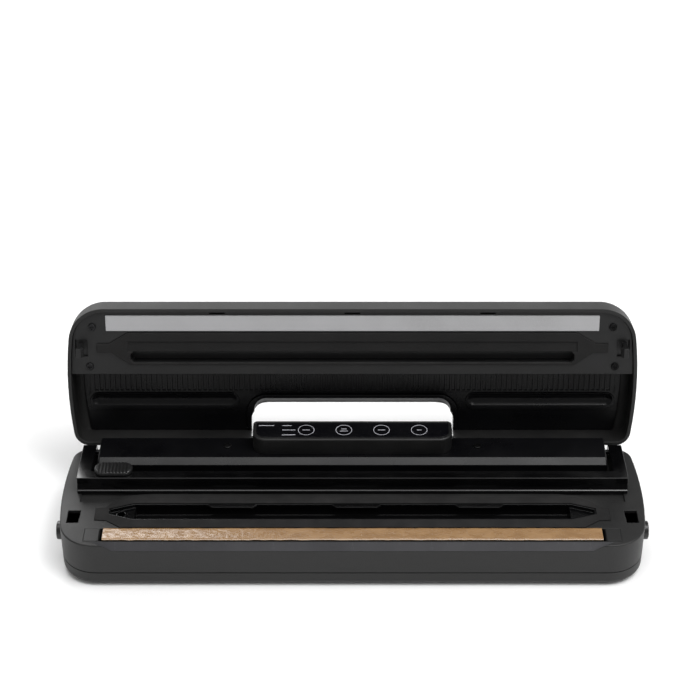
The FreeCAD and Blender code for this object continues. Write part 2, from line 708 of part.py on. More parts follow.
def latch_catch(side):
    """Sliding yoke under the socket, with a finger inboard of the lid's hook."""
    stem_end = LATCH_X - 1.0
    half = CATCH_WIDTH / 2
    low = BUTTON_Z - 3.0 - STEM_RADIUS
    bar = box(CATCH_X, stem_end, LATCH_Y - half, LATCH_Y + half, low, DECK_Z - HOOK_REACH - 1.5)
    finger = [
        (CATCH_X, LATCH_Y - half),
        (CATCH_X + CATCH_THICK, LATCH_Y - half),
        (CATCH_X + CATCH_THICK, LATCH_Y + half),
        (CATCH_X, LATCH_Y + half),
    ]
    upright = xy_prism(finger, low, DECK_UNDER - 0.8)
    lip = box(CATCH_X, LIP_X, LATCH_Y - half, LATCH_Y + half, DECK_UNDER - 2.8, DECK_UNDER - 0.8)
    catch = joined([bar, upright, lip])
    clear = box(LIP_X + 0.2, HALF_WIDTH, LATCH_Y - 8, LATCH_Y + 8, DECK_Z - HOOK_REACH - 1.5, DECK_Z)
    catch = catch.cut(clear)
    return catch if side > 0 else mirrored(catch)


def release_spring(side):
    """Coil spring between the catch and the stop wall, at its fitted length."""
    height = SPRING_LENGTH - 2 * SPRING_WIRE
    helix = Part.makeHelix(height / SPRING_TURNS, height, SPRING_RADIUS)
    start = vec(SPRING_RADIUS, 0, 0)
    section = Part.Wire(Part.makeCircle(SPRING_WIRE / 2, start, vec(0, 1, 0)))
    coil = Part.Wire(helix).makePipeShell([section], True, True)
    coil.rotate(vec(0, 0, 0), vec(0, 1, 0), 90)
    coil.translate(vec(SPRING_STOP_X + SPRING_WIRE, LATCH_Y, BUTTON_Z - 1.0))
    return coil if side > 0 else mirrored(coil)


# ---- Rear housing and control pod ----

def housing_profile(inset):
    return [
        (HOUSING_Y0 + inset, DECK_Z),
        (HOUSING_Y0 + inset, HOUSING_Z - HOUSING_SLOPE_DROP - inset * 0.5),
        (HOUSING_Y0 + HOUSING_SLOPE_RUN + inset * 0.5, HOUSING_Z - inset),
        (HOUSING_Y1 - inset, HOUSING_Z - inset),
        (HOUSING_Y1 - inset, DECK_Z),
    ]


def rear_housing():
    outer = yz_prism(housing_profile(0), -HOUSING_HALF, HOUSING_HALF)
    ends = [e for e in outer.Edges if e.BoundBox.XLength < 0.01 and e.BoundBox.ZMin > DECK_Z + 1]
    outer = outer.makeFillet(1.5, ends)
    inner = yz_prism(housing_profile(WALL_THIN), -HOUSING_HALF + WALL_THIN, HOUSING_HALF - WALL_THIN)
    pod_hole = box(-POD_HALF + 6, POD_HALF - 6, POD_Y0 + 5, HOUSING_Y1 - 4, HOUSING_Z - 4, HOUSING_Z + 1)
    pins = []
    for side in (-1, 1):
        x0, x1 = sorted((side * (HOUSING_HALF - 6), side * (HOUSING_HALF + 1)))
        pins.append(disc(PIVOT_PIN_RADIUS, x1 - x0, x0, PIVOT_Y, PIVOT_Z, (1, 0, 0)))
    clear = []
    reach = KNUCKLE_WIDTH / 2 + KNUCKLE_GAP
    for centre in (-HINGE_X, HINGE_X):
        clear.append(hinge_clearance(centre - reach, centre + reach))
    screw_holes = [disc(SCREW_RADIUS, 6, x, y, HOUSING_Z - 5) for x, y in housing_screw_places()]
    return without(outer, [inner, pod_hole] + pins + clear + screw_holes)


def housing_screw_places():
    return [(-HINGE_X + 5, HOUSING_Y1 - 9.0), (HINGE_X - 5, HOUSING_Y1 - 9.0)]


def housing_screws():
    screws = []
    for x, y in housing_screw_places():
        head = rounded_at(disc(SCREW_HEAD, 1.0, x, y, HOUSING_Z), HOUSING_Z + 1.0, 0.4)
        screws.append(joined([head, disc(SCREW_RADIUS, 8, x, y, HOUSING_Z - 7.5)]))
    return Part.makeCompound(screws)


def pod_prism(inset, z0, z1):
    block = box(-POD_HALF + inset, POD_HALF - inset, POD_Y0 + inset, POD_Y1 - inset, z0, z1)
    rounded = block
    for at_front, radius in ((True, POD_CORNER), (False, POD_REAR_CORNER)):
        uprights = []
        for edge in rounded.Edges:
            bound = edge.BoundBox
            upright = bound.ZLength > 0.5 and bound.XLength < 0.01 and bound.YLength < 0.01
            middle = (POD_Y0 + POD_Y1) / 2
            corner = POD_Y0 + inset if at_front else POD_Y1 - inset
            if upright and abs(bound.YMin - corner) < 0.01 and (bound.YMin < middle) == at_front:
                uprights.append(edge)
        rounded = rounded.makeFillet(max(radius - inset, 0.8), uprights)
    return rounded


def control_pod():
    """Its rear edge stands over the lid's rear wall, in the notch that the lid leaves for it."""
    outer = rounded_at(pod_prism(0, HOUSING_Z, POD_TOP_Z), POD_TOP_Z, POD_EDGE)
    inner = pod_prism(WALL_THIN, HOUSING_Z - 1, POD_TOP_Z + POD_SINK - PANEL_THICK - WALL_THIN)
    sill = box(-POD_HALF, POD_HALF, HOUSING_Y1 - 0.6, REAR_Y, HOUSING_Z - 2, HOUSING_Z + WALL_THIN)
    seat = pod_prism(PANEL_MARGIN + 0.8, POD_TOP_Z - PANEL_THICK, POD_TOP_Z + 1)
    window = pod_prism(WALL_THIN + 3, HOUSING_Z + WALL_THIN, POD_TOP_Z)
    return without(outer, [inner.cut(sill), seat, window])


def touch_panel():
    return pod_prism(PANEL_MARGIN + 0.8, POD_TOP_Z - PANEL_THICK, POD_TOP_Z)


def control_board():
    z0 = POD_TOP_Z - PANEL_THICK - 3.6
    board = pod_prism(WALL_THIN + 1.5, z0, z0 + 1.6)
    pads = [disc(3.0, 2.0, x, (POD_Y0 + POD_Y1) / 2, z0 + 1.6) for x in key_places()]
    return joined([board] + pads)


def key_places():
    return [-30.6 + 24.93 * k for k in range(4)]


# ---- Cutter ----

def cutter_frame():
    top = FRAME_Z0 + FRAME_HEIGHT
    bar_points = [
        (FRAME_Y0, FRAME_Z0),
        (FRAME_Y0, FRAME_Z0 + FRAME_LIP_HEIGHT),
        (FRAME_Y0 + FRAME_LIP, FRAME_Z0 + FRAME_LIP_HEIGHT + 0.5),
        (FRAME_Y0 + FRAME_LEAN, top),
        (BAR_Y1, top),
        (BAR_Y1, FRAME_Z0),
    ]
    bar = yz_prism(bar_points, -FRAME_HALF, FRAME_HALF)
    hollow = [
        (FRAME_Y0 + WALL_THIN + 1, FRAME_Z0),
        (FRAME_Y0 + WALL_THIN + FRAME_LEAN, top - WALL_THIN),
        (BAR_Y1 - WALL_THIN, top - WALL_THIN),
        (BAR_Y1 - WALL_THIN, FRAME_Z0),
    ]
    bar = bar.cut(yz_prism(hollow, -FRAME_HALF + 12, FRAME_HALF - 12))
    arm_points = [
        (FRAME_Y0 + FRAME_LEAN, FRAME_Z0),
        (FRAME_Y0 + FRAME_LEAN, top),
        (BAR_Y1 + 4, top),
        (PIVOT_Y, PIVOT_Z + 4.6),
        (PIVOT_Y, FRAME_Z0),
    ]
    arms = []
    for side in (-1, 1):
        x0, x1 = sorted((side * (FRAME_HALF - FRAME_ARM), side * FRAME_HALF))
        arms.append(yz_prism(arm_points, x0, x1))
        arms.append(disc(4.6, FRAME_ARM, x0, PIVOT_Y, PIVOT_Z, (1, 0, 0)))
    rail = box(-FRAME_HALF + 2, FRAME_HALF - 2, BAR_Y1 - 1, RAIL_Y1, FRAME_Z0 + RAIL_RISE, RAIL_Z1)
    frame = joined([bar, rail] + arms)
    slot_half = CARRIAGE_LENGTH / 2 + CLEARANCE - KNOB_START_X
    slot = box(-slot_half, slot_half, KNOB_Y - BLADE_SLOT / 2, KNOB_Y + BLADE_SLOT / 2, FRAME_Z0, RAIL_Z1 + 1)
    bores = []
    for side in (-1, 1):
        x0, x1 = sorted((side * (FRAME_HALF - FRAME_ARM - 1), side * (FRAME_HALF - 2)))
        bores.append(disc(PIVOT_PIN_RADIUS + SLIP, x1 - x0, x0, PIVOT_Y, PIVOT_Z, (1, 0, 0)))
    return without(frame, [slot] + bores)


def cutter_pivots():
    x0 = HOUSING_HALF - 6
    x1 = FRAME_HALF - 2.4
    pin = disc(PIVOT_PIN_RADIUS, x1 - x0, x0, PIVOT_Y, PIVOT_Z, (1, 0, 0))
    return Part.makeCompound(both_sides(pin))


def knob_oval(length, depth, z0, z1, y):
    reach = (length - depth) / 2
    middle = box(KNOB_START_X - reach, KNOB_START_X + reach, y - depth / 2, y + depth / 2, z0, z1)
    ends = [disc(depth / 2, z1 - z0, KNOB_START_X + side * reach, y, z0) for side in (-1, 1)]
    return joined([middle] + ends)


def cutter_knob():
    """Ribbed cap that stands over the bar, on a neck that passes behind it."""
    top = DECK_Z + KNOB_RISE
    cap_y = KNOB_Y - KNOB_OVERHANG
    cap = knob_oval(KNOB_LENGTH, KNOB_DEPTH, top - KNOB_CAP, top, cap_y)
    cap = rounded_at(cap, top, 1.2)
    neck_y = BAR_Y1 + 2 * CLEARANCE + NECK_DEPTH / 2
    neck = knob_oval(KNOB_LENGTH - 6, NECK_DEPTH, RAIL_Z1 + CLEARANCE, top - KNOB_CAP, neck_y)
    grooves = []
    pitch = (KNOB_LENGTH - 5) / KNOB_RIBS
    for k in range(KNOB_RIBS):
        x = KNOB_START_X + (k - (KNOB_RIBS - 1) / 2) * pitch
        grooves.append(box(x - 0.5, x + 0.5, cap_y - KNOB_DEPTH, cap_y + KNOB_DEPTH, top - 0.8, top + 1))
    return joined([cap, neck]).cut(grooves)


def cutter_carriage():
    """Foot that joins the knob to the blade holder through the rail's slot."""
    web = BLADE_SLOT / 2 - CLEARANCE
    half = CARRIAGE_LENGTH / 2
    return box(KNOB_START_X - half, KNOB_START_X + half, KNOB_Y - web, KNOB_Y + web,
               FRAME_Z0 + 0.4, RAIL_Z1 + CLEARANCE)


def cutter_blade():
    root = FRAME_Z0 + 0.4
    points = [(KNOB_START_X - 5, root), (KNOB_START_X + 5, root), (KNOB_START_X, DECK_Z - 0.8)]
    corners = [vec(x, KNOB_Y - 0.2, z) for x, z in points]
    face = Part.Face(Part.makePolygon(corners + corners[:1]))
    return face.extrude(vec(0, 0.4, 0))


# ---- Lid, built closed ----

def lid_outer():
    """Large rounding on the front and sides, a small one along the rear."""
    base = DECK_Z + RIM_GAP
    wide = rounded_at(body_prism(0, base, LID_TOP_Z, REAR_Y + 60), LID_TOP_Z, LID_EDGE)
    close = rounded_at(body_prism(0, base, LID_TOP_Z), LID_TOP_Z, LID_REAR_EDGE)
    return wide.common(close)


def lid_cavity(inset, top_inset):
    base = DECK_Z + RIM_GAP
    top = LID_TOP_Z - top_inset
    wide = rounded_at(body_prism(inset, base - 1, top, REAR_Y + 60), top, LID_EDGE - inset)
    close = rounded_at(body_prism(inset, base - 1, top), top, max(LID_REAR_EDGE - inset, 0.8))
    return wide.common(close)


def window_prism(grow, z0, z1):
    block = box(-WINDOW_HALF - grow, WINDOW_HALF + grow, WINDOW_Y0 - grow, WINDOW_Y1, z0, z1)
    front = [e for e in block.Edges
             if e.BoundBox.ZLength > 0.5 and e.BoundBox.YMax < WINDOW_Y0 - grow + 0.01]
    return block.makeFillet(WINDOW_CORNER + grow, front)


def rounded_front(half, front, back, radius, z):
    """Outline at one height: square at the back, its two front corners rounded."""
    diagonal = radius * (1 - 2 ** -0.5)
    corners = [
        (vec(-half, front + radius, z), vec(-half + diagonal, front + diagonal, z), vec(-half + radius, front, z)),
        (vec(half - radius, front, z), vec(half - diagonal, front + diagonal, z), vec(half, front + radius, z)),
    ]
    left, right = corners
    rear_right, rear_left = vec(half, back, z), vec(-half, back, z)
    edges = [Part.Arc(*left).toShape(), Part.makeLine(left[2], right[0]), Part.Arc(*right).toShape(),
             Part.makeLine(right[2], rear_right), Part.makeLine(rear_right, rear_left),
             Part.makeLine(rear_left, left[0])]
    return Part.Wire(edges)


def window_flare(low, high):
    """Slope of the window's front edge, from its outside line down to the collar's end."""
    lean = WINDOW_FLARE / (WALL + WINDOW_FRAME_DROP)
    outlines = [rounded_front(POD_HALF + 2 * CLEARANCE, WINDOW_Y0 - (LID_TOP_Z - z) * lean,
                              WINDOW_Y0 + FLARE_BACK, FLARE_CORNER, z) for z in (low, high)]
    return Part.makeLoft(outlines, True, True)


def window_notch():
    """The window runs out through the lid's rear wall, above the rear housing."""
    return box(-WINDOW_HALF, WINDOW_HALF, WINDOW_Y1 - 2, REAR_Y + 1,
               HOUSING_Z - WINDOW_SILL_DROP, LID_TOP_Z + 1)


def lid_knuckles():
    knuckles = []
    half = KNUCKLE_WIDTH / 2
    for centre in (-HINGE_X, HINGE_X):
        barrel = disc(KNUCKLE_RADIUS, KNUCKLE_WIDTH, centre - half, HINGE_Y, DECK_Z, (1, 0, 0))
        web_points = [
            (HINGE_Y + 1.0, DECK_Z),
            (HINGE_Y + 1.0, DECK_Z + 4.0),
            (REAR_Y - 0.8, DECK_Z + 9.0),
            (REAR_Y - 0.8, DECK_Z + RIM_GAP),
            (REAR_Y + 0.2, DECK_Z),
        ]
        knuckles.append(joined([barrel, yz_prism(web_points, centre - half, centre + half)]))
    return knuckles


def lid_shell():
    shell = lid_outer().cut(lid_cavity(WALL, WALL))
    ceiling = LID_TOP_Z - WALL
    bosses = []
    plate_top = DECK_Z + PLATE_LEVEL + PLATE_THICK
    for x, y in lid_boss_places():
        bosses.append(disc(BOSS_RADIUS, ceiling + 1 - plate_top, x, y, plate_top).common(lid_outer()))
    cuts = [window_prism(0, ceiling - 1, LID_TOP_Z + 1), window_flare(ceiling - 0.5, LID_TOP_Z)]
    cuts.append(window_notch())
    reach = KNUCKLE_WIDTH / 2 + KNUCKLE_GAP
    ear_reach = reach + EAR_WIDTH + KNUCKLE_GAP
    for centre in (-HINGE_X, HINGE_X):
        cuts.append(hinge_clearance(centre - ear_reach, centre - reach + KNUCKLE_GAP))
        cuts.append(hinge_clearance(centre + reach - KNUCKLE_GAP, centre + ear_reach))
    for x, y in lid_boss_places():
        cuts.append(disc(SCREW_RADIUS, 14, x, y, plate_top - 1))
    shell = without(joined([shell] + bosses), cuts)
    return joined([shell] + lid_knuckles()).cut(pin_passages())


def pin_passages():
    """Bores for the hinge pins, cut right through knuckles and shell together."""
    half = KNUCKLE_WIDTH / 2
    return [disc(HINGE_PIN_RADIUS + SLIP, KNUCKLE_WIDTH + 2, centre - half - 1, HINGE_Y, DECK_Z, (1, 0, 0))
            for centre in (-HINGE_X, HINGE_X)]


def hook_slots():
    half_x, half_y = SOCKET_WIDTH / 2, SOCKET_DEPTH / 2
    return [box(middle - half_x, middle + half_x, LATCH_Y - half_y, LATCH_Y + half_y, DECK_Z, LID_TOP_Z)
            for middle in (-LATCH_X, LATCH_X)]


def strip_block(z0, z1, grow=0):
    half_x, half_y = STRIP_LENGTH / 2 + grow, STRIP_WIDTH / 2 + grow
    return box(-half_x, half_x, SEAL_MID_Y - half_y, SEAL_MID_Y + half_y, z0, z1)


def lid_plate():
    low = DECK_Z + PLATE_LEVEL
    high = low + PLATE_THICK
    room = lid_cavity(WALL + CLEARANCE / 2, WALL + CLEARANCE / 2)
    behind = box(-HALF_WIDTH, HALF_WIDTH, PLATE_Y1, REAR_Y + 5, DECK_Z - 5, LID_TOP_Z + 5)
    slab = box(-HALF_WIDTH, HALF_WIDTH, FRONT_Y, PLATE_Y1, low, high)
    wall = box(-HALF_WIDTH, HALF_WIDTH, PLATE_Y1 - WALL_THIN, PLATE_Y1, low, LID_TOP_Z)
    tub_top = low + LID_CHAMBER_DEPTH + TROUGH_WALL
    tub = xy_prism(grown(lid_chamber_outline(), TROUGH_WALL), low, tub_top)
    strip_seat = strip_block(low, DECK_Z + STRIP_LEVEL + STRIP_THICK + 1.2, 1.5)
    plate = joined([slab, wall, tub, strip_seat]).common(room).cut(behind)
    cuts = [strip_block(DECK_Z, DECK_Z + STRIP_LEVEL + STRIP_THICK)]
    cuts.append(xy_prism(lid_chamber_outline(), DECK_Z, low + LID_CHAMBER_DEPTH))
    cuts.append(xy_prism(lid_gasket_outline(), DECK_Z, low + 0.8))
    cuts += hook_slots()
    for x, y in lid_boss_places():
        cuts.append(disc(SCREW_RADIUS + 0.2, 12, x, y, DECK_Z))
    for x in (-89.0, 0.0, 89.0):
        cuts.append(box(x - 5, x + 5, FRONT_Y, FRONT_Y + WALL + 1.6, DECK_Z, high + 1))
    return without(plate, cuts)


def lid_gasket():
    low = DECK_Z + LID_GASKET_LEVEL
    ring = xy_prism(lid_gasket_outline(), low, DECK_Z + PLATE_LEVEL + 0.8)
    strip = strip_block(DECK_Z - 1, LID_TOP_Z)
    reach = LID_CHAMBER_HALF + 1.6
    edge = CHAMBER_MID_Y + LID_CHAMBER_SHIFT - LID_CHAMBER_WIDTH / 2
    band = box(-reach, reach, GASKET_Y0 + 5.9, edge + 0.1, low - 1, low + LID_GASKET_STEP)
    return without(ring, [xy_prism(lid_chamber_outline(), low - 1, LID_TOP_Z), strip, band])


def press_strip():
    return strip_block(DECK_Z + STRIP_LEVEL, DECK_Z + STRIP_LEVEL + STRIP_THICK)


def lid_hooks():
    tip = DECK_Z - HOOK_REACH
    root = DECK_Z + PLATE_LEVEL + PLATE_THICK
    x0 = LATCH_X - HOOK_WIDTH / 2
    profile = [
        (x0 + 1.6, root),
        (x0 + 1.6, tip + 3.4),
        (x0, tip + 3.4),
        (x0, tip + 2.0),
        (x0 + 1.6, tip),
        (x0 + HOOK_WIDTH, tip),
        (x0 + HOOK_WIDTH, root),
    ]
    corners = [vec(x, LATCH_Y - HOOK_DEPTH / 2, z) for x, z in profile]
    blade = Part.Face(Part.makePolygon(corners + corners[:1])).extrude(vec(0, HOOK_DEPTH, 0))
    flange = box(LATCH_X - SOCKET_WIDTH / 2 - 1.5, LATCH_X + SOCKET_WIDTH / 2, LATCH_Y - SOCKET_DEPTH / 2 - 2,
                 LATCH_Y + SOCKET_DEPTH / 2 + 2, root, root + 2.0)
    return Part.makeCompound(both_sides(joined([blade, flange])))


def lid_plate_screws():
    screws = []
    under = DECK_Z + PLATE_LEVEL
    for x, y in lid_boss_places():
        head = rounded_at(disc(SCREW_HEAD, 1.2, x, y, under - 1.2), under - 1.2, 0.5)
        shank = disc(SCREW_RADIUS, 14, x, y, under - 0.2)
        cross = joined([box(x - 1.5, x + 1.5, y - 0.3, y + 0.3, under - 2, under - 0.4),
                        box(x - 0.3, x + 0.3, y - 1.5, y + 1.5, under - 2, under - 0.4)])
        screws.append(joined([head, shank]).cut(cross))
    return Part.makeCompound(screws)


def bead_groove(side, surface_z):
    """Round-bottomed groove in a bead's face, with ball-shaped ends."""
    radius = (BEAD_GROOVE ** 2 / 4 + BEAD_GROOVE_DEPTH ** 2) / (2 * BEAD_GROOVE_DEPTH)
    y = REAR_Y - BEAD_BACK - BEAD_GROOVE_SHIFT
    z = surface_z + BEAD_GROOVE_DEPTH - radius
    x0 = BEAD_START + 1.5 + BEAD_GROOVE / 2
    x1 = BEAD_END - 1.5 - BEAD_GROOVE / 2
    tool = joined([disc(radius, x1 - x0, x0, y, z, (1, 0, 0))]
                  + [Part.makeSphere(radius, vec(x, y, z)) for x in (x0, x1)])
    return tool if side > 0 else mirrored(tool)


def lid_liner():
    """Inner sheet of the lid's rear half, grooved at the front and with one long bead each side."""
    low = DECK_Z + LINER_LEVEL
    high = low + LINER_THICK
    room = lid_cavity(WALL + CLEARANCE / 2, LID_TOP_Z - high - 0.2)
    inner = body_prism(WALL + LINER_SIDE, low, high, REAR_Y + LINER_SIDE - CLEARANCE)
    ahead = box(-HALF_WIDTH, HALF_WIDTH, FRONT_Y - 5, PLATE_Y1 + 0.3, low - 5, high + 5)
    y0 = PLATE_Y1 + 1.0
    pad_half = HALF_WIDTH - 12.0
    pad = box(-pad_half, pad_half, y0, y0 + RIB_LENGTH + RIB_END, low - RIB_DROP, low + 0.3)
    grooves = []
    count = int(pad_half / RIB_PITCH)
    gap = RIB_PITCH - RIB_WIDTH
    for k in range(-count, count):
        x = (k + 0.5) * RIB_PITCH
        grooves.append(box(x - gap / 2, x + gap / 2, y0 - 1, y0 + RIB_LENGTH, low - RIB_DROP - 1, low))
    details = [pad.cut(grooves)]
    bead_y = REAR_Y - BEAD_BACK
    channels = []
    for side in (-1, 1):
        x0, x1 = sorted((side * BEAD_START, side * BEAD_END))
        bead = box(x0, x1, bead_y - BEAD_WIDTH / 2, bead_y + BEAD_WIDTH / 2, low - BEAD_DROP, low + 0.3)
        details.append(rounded_uprights(bead, BEAD_WIDTH / 2 - 0.1))
        channels.append(bead_groove(side, low - BEAD_DROP))
    sheet = inner.common(room).cut(ahead)
    hole = collar_prism(CLEARANCE, low - 5, high + 5)
    return without(joined([sheet] + details), [hole, window_notch()] + channels)


def collar_prism(grow, z0, z1):
    """Outside of the window's collar, which ends just short of the rear wall."""
    half = WINDOW_HALF + WINDOW_FRAME_WALL + grow
    y0 = WINDOW_Y0 - WINDOW_COLLAR - grow
    block = box(-half, half, y0, WINDOW_Y1 - 2.0 + 3 * grow, z0, z1)
    front = [e for e in block.Edges if e.BoundBox.ZLength > 0.5 and e.BoundBox.YMax < y0 + 0.01]
    return block.makeFillet(WINDOW_CORNER + WINDOW_FRAME_WALL + grow, front)


def window_frame():
    """Collar under the window, flared away from the control pod's swing."""
    high = LID_TOP_Z - WALL
    low = high - WINDOW_FRAME_DROP
    outer = collar_prism(0, low, high)
    return without(outer, [window_prism(0, low - 1, high + 1), window_flare(low - 0.01, high + 0.01)])


# ---- What lies inside the base ----

def pump_motor():
    x1 = PUMP_X - 13.0
    can = disc(MOTOR_RADIUS, MOTOR_LENGTH, x1 - MOTOR_LENGTH, PUMP_Y, PUMP_Z, (1, 0, 0))
    bore = disc(SHAFT_RADIUS + SLIP, 14, x1 - 12, PUMP_Y, PUMP_Z, (1, 0, 0))
    return can.cut(bore)


def pump_head():
    """Hollow head with the eccentric inside, on a foot that stands in the pan."""
    x0 = PUMP_X - 13.0
    x1 = PUMP_X + 13.0
    outer = box(x0, x1, PUMP_Y - 20, PUMP_Y + 11, PAN_FLOOR, PUMP_Z + 12)
    hollow = box(x0 + 3, x1 - 3, PUMP_Y - 9.5, PUMP_Y + 8.5, PUMP_Z - 10, PUMP_Z + 10)
    hole = disc(SHAFT_RADIUS + SLIP, 6, x0 - 1, PUMP_Y, PUMP_Z, (1, 0, 0))
    nipple = disc(HOSE_BORE - 0.05, 7, x0 - 6, NIPPLE_Y, NIPPLE_Z, (1, 0, 0))
    air = disc(HOSE_BORE - 0.6, 14, x0 - 7, NIPPLE_Y, NIPPLE_Z, (1, 0, 0))
    return without(joined([outer, nipple]), [hollow, hole, air])


def motor_shaft():
    return disc(SHAFT_RADIUS, 24, PUMP_X - 13.0 - 11.0, PUMP_Y, PUMP_Z, (1, 0, 0))


def eccentric():
    wheel = disc(6.0, 4.0, PUMP_X - 1.0, PUMP_Y + 1.4, PUMP_Z, (1, 0, 0))
    return wheel.cut(disc(SHAFT_RADIUS, 6, PUMP_X - 2, PUMP_Y, PUMP_Z, (1, 0, 0)))


def round_route(points):
    """Straight runs joined by tangent arcs, as wide as the shorter run allows."""
    spots = [vec(*p) for p in points]
    edges = []
    last = spots[0]
    for before, here, after in zip(spots, spots[1:], spots[2:]):
        back = (before - here).normalize()
        ahead = (after - here).normalize()
        turn = math.pi - back.getAngle(ahead)
        setback = 0.45 * min(before.distanceToPoint(here), after.distanceToPoint(here))
        radius = setback / math.tan(turn / 2)
        start = here + back * setback
        end = here + ahead * setback
        middle_dir = (back + ahead).normalize()
        centre_gap = math.hypot(setback, radius)
        middle = here + middle_dir * (centre_gap - radius)
        edges.append(Part.makeLine(last, start))
        edges.append(Part.Arc(start, middle, end).toShape())
        print("  bend radius", round(radius, 1))
        last = end
    edges.append(Part.makeLine(last, spots[-1]))
    return Part.Wire(edges)


def vacuum_hose():
    y0 = CHAMBER_MID_Y + PORT_RING + 1.0
    route = [
        (PORT_X, y0, HOSE_Z),
        (PORT_X, y0 + 16, HOSE_Z),
        (PORT_X + 10, NIPPLE_Y - 2.5, NIPPLE_Z + 0.5),
        (PORT_X + 32, NIPPLE_Y + 1.5, NIPPLE_Z + 0.3),
        (PORT_X + 56, NIPPLE_Y, NIPPLE_Z),
        (PUMP_X - 13.0, NIPPLE_Y, NIPPLE_Z),
    ]
    path = round_route(route)
    return tube(path, HOSE_RADIUS, route[0], (0, 1, 0)).cut(tube(path, HOSE_BORE, route[0], (0, 1, 0)))


def tube(path, radius, start, direction):
    section = Part.Wire(Part.makeCircle(radius, vec(*start), vec(*direction)))
    return path.makePipeShell([section], True, True)


def power_board():
    return box(30, 150, PUMP_Y - 12, PUMP_Y + 9, PAN_FLOOR + 4, PAN_FLOOR + 5.6)


def board_posts():
    places = [(x, y) for x in (35, 145) for y in (PUMP_Y - 8, PUMP_Y + 5)]
    return Part.makeCompound([disc(2.5, 4, x, y, PAN_FLOOR) for x, y in places])


def transformer():
    z0 = PAN_FLOOR + 5.6
    core = box(60, 96, PUMP_Y - 9, PUMP_Y + 7, z0, z0 + 20)
    coil = box(65, 91, PUMP_Y - 11.5, PUMP_Y + 8.8, z0 + 4, z0 + 16)
    return joined([core, coil])


def capacitors():
    z0 = PAN_FLOOR + 5.6
    cans = [disc(4.5, 14, x, PUMP_Y - 4, z0) for x in (110, 122)]
    return Part.makeCompound(cans)


def release_valve():
    body = box(-29, -10, PUMP_Y - 10, PUMP_Y + 6, PAN_FLOOR, PAN_FLOOR + 16)
    spout = disc(2.0, 6, -20, PUMP_Y - 2, PAN_FLOOR + 16)
    return joined([body, spout])


def heater_leads():
    """Two wires from the ends of the seal bar to the power board, low in the pan."""
    low = PAN_FLOOR + 2.8
    board_y = PUMP_Y - 12.0
    board_z = PAN_FLOOR + 4.8
    left = [
        (-LEAD_X, SEAL_MID_Y, DECK_Z - SEAL_SLOT_DEPTH),
        (-LEAD_X, SEAL_MID_Y, DECK_Z - SEAL_SLOT_DEPTH - 14.0),
        (-LEAD_X + 22, SEAL_MID_Y + 4, low),
        (-LEAD_X + 76, SEAL_MID_Y + 14, low),
        (0, SEAL_MID_Y + 32, low),
        (41, board_y - 18, board_z),
        (41, board_y, board_z),
    ]
    right = [
        (LEAD_X, SEAL_MID_Y, DECK_Z - SEAL_SLOT_DEPTH),
        (LEAD_X, SEAL_MID_Y, DECK_Z - SEAL_SLOT_DEPTH - 14.0),
        (LEAD_X - 8, SEAL_MID_Y + 9, low),
        (LEAD_X - 20, SEAL_MID_Y + 32, low),
        (LEAD_X - 27, board_y - 12, board_z),
        (LEAD_X - 27, board_y, board_z),
    ]
    wires = [tube(round_route(route), LEAD_RADIUS, route[0], (0, 0, -1)) for route in (left, right)]
    return Part.makeCompound(wires)


def inlet_block(grow, out):
    """Space of the inlet's body in the rear wall."""
    return box(INLET_X - INLET_WIDTH / 2 - grow, INLET_X + INLET_WIDTH / 2 + grow, REAR_Y - INLET_DEPTH,
               REAR_Y + out, INLET_Z - INLET_HEIGHT / 2 - grow, INLET_Z + INLET_HEIGHT / 2 + grow)


def inlet_pin_places():
    return [INLET_X - INLET_PIN_GAP / 2, INLET_X + INLET_PIN_GAP / 2]


def power_inlet():
    """Body with a round-ended cup for the plug of a loose lead, and a face plate."""
    face = box(INLET_X - INLET_WIDTH / 2 - 2, INLET_X + INLET_WIDTH / 2 + 2, REAR_Y, REAR_Y + INLET_FACE,
               INLET_Z - INLET_HEIGHT / 2 - 1.5, INLET_Z + INLET_HEIGHT / 2 + 1.5)
    depth = INLET_DEPTH - 4
    front = REAR_Y + INLET_FACE + 1
    left, right = inlet_pin_places()
    cup = [disc(INLET_CUP, depth, x, front, INLET_Z, (0, -1, 0)) for x in (left, right)]
    cup.append(box(left, right, front - depth, front, INLET_Z - INLET_CUP, INLET_Z + INLET_CUP))
    return without(joined([inlet_block(0, INLET_FACE), face]), cup + inlet_pin_solids())


def inlet_pin_solids():
    return [disc(INLET_PIN, INLET_DEPTH - 3, x, REAR_Y - INLET_DEPTH + 1, INLET_Z, (0, 1, 0))
            for x in inlet_pin_places()]


def inlet_pins():
    return Part.makeCompound(inlet_pin_solids())


# ---- Write every piece ----
os.makedirs("parts", exist_ok=True)

FIXED = {
    "base_shell": base_shell,
    "bottom_pan": bottom_pan,
    "rubber_feet": rubber_feet,
    "bottom_screws": bottom_screws,
    "hinge_pins": hinge_pins,
    "ruler_strip": ruler_strip,
    "seal_bar_carrier": seal_bar_carrier,
    "heating_element": heating_element,
    "ptfe_tape": ptfe_tape,
    "seal_bar_clamps": seal_bar_clamps,
    "base_gasket": base_gasket,
    "vacuum_trough": vacuum_trough,
    "suction_port": suction_port,
    "rear_housing": rear_housing,
    "housing_screws": housing_screws,
    "control_pod": control_pod,
    "touch_panel": touch_panel,
    "control_board": control_board,
    "cutter_frame": cutter_frame,
    "cutter_pivots": cutter_pivots,
    "cutter_knob": cutter_knob,
    "cutter_carriage": cutter_carriage,
    "cutter_blade": cutter_blade,
    "pump_motor": pump_motor,
    "pump_head": pump_head,
    "motor_shaft": motor_shaft,
    "eccentric": eccentric,
    "vacuum_hose": vacuum_hose,
    "power_board": power_board,
    "board_posts": board_posts,
    "transformer": transformer,
    "capacitors": capacitors,
    "release_valve": release_valve,
    "heater_leads": heater_leads,
    "power_inlet": power_inlet,
    "inlet_pins": inlet_pins,
}

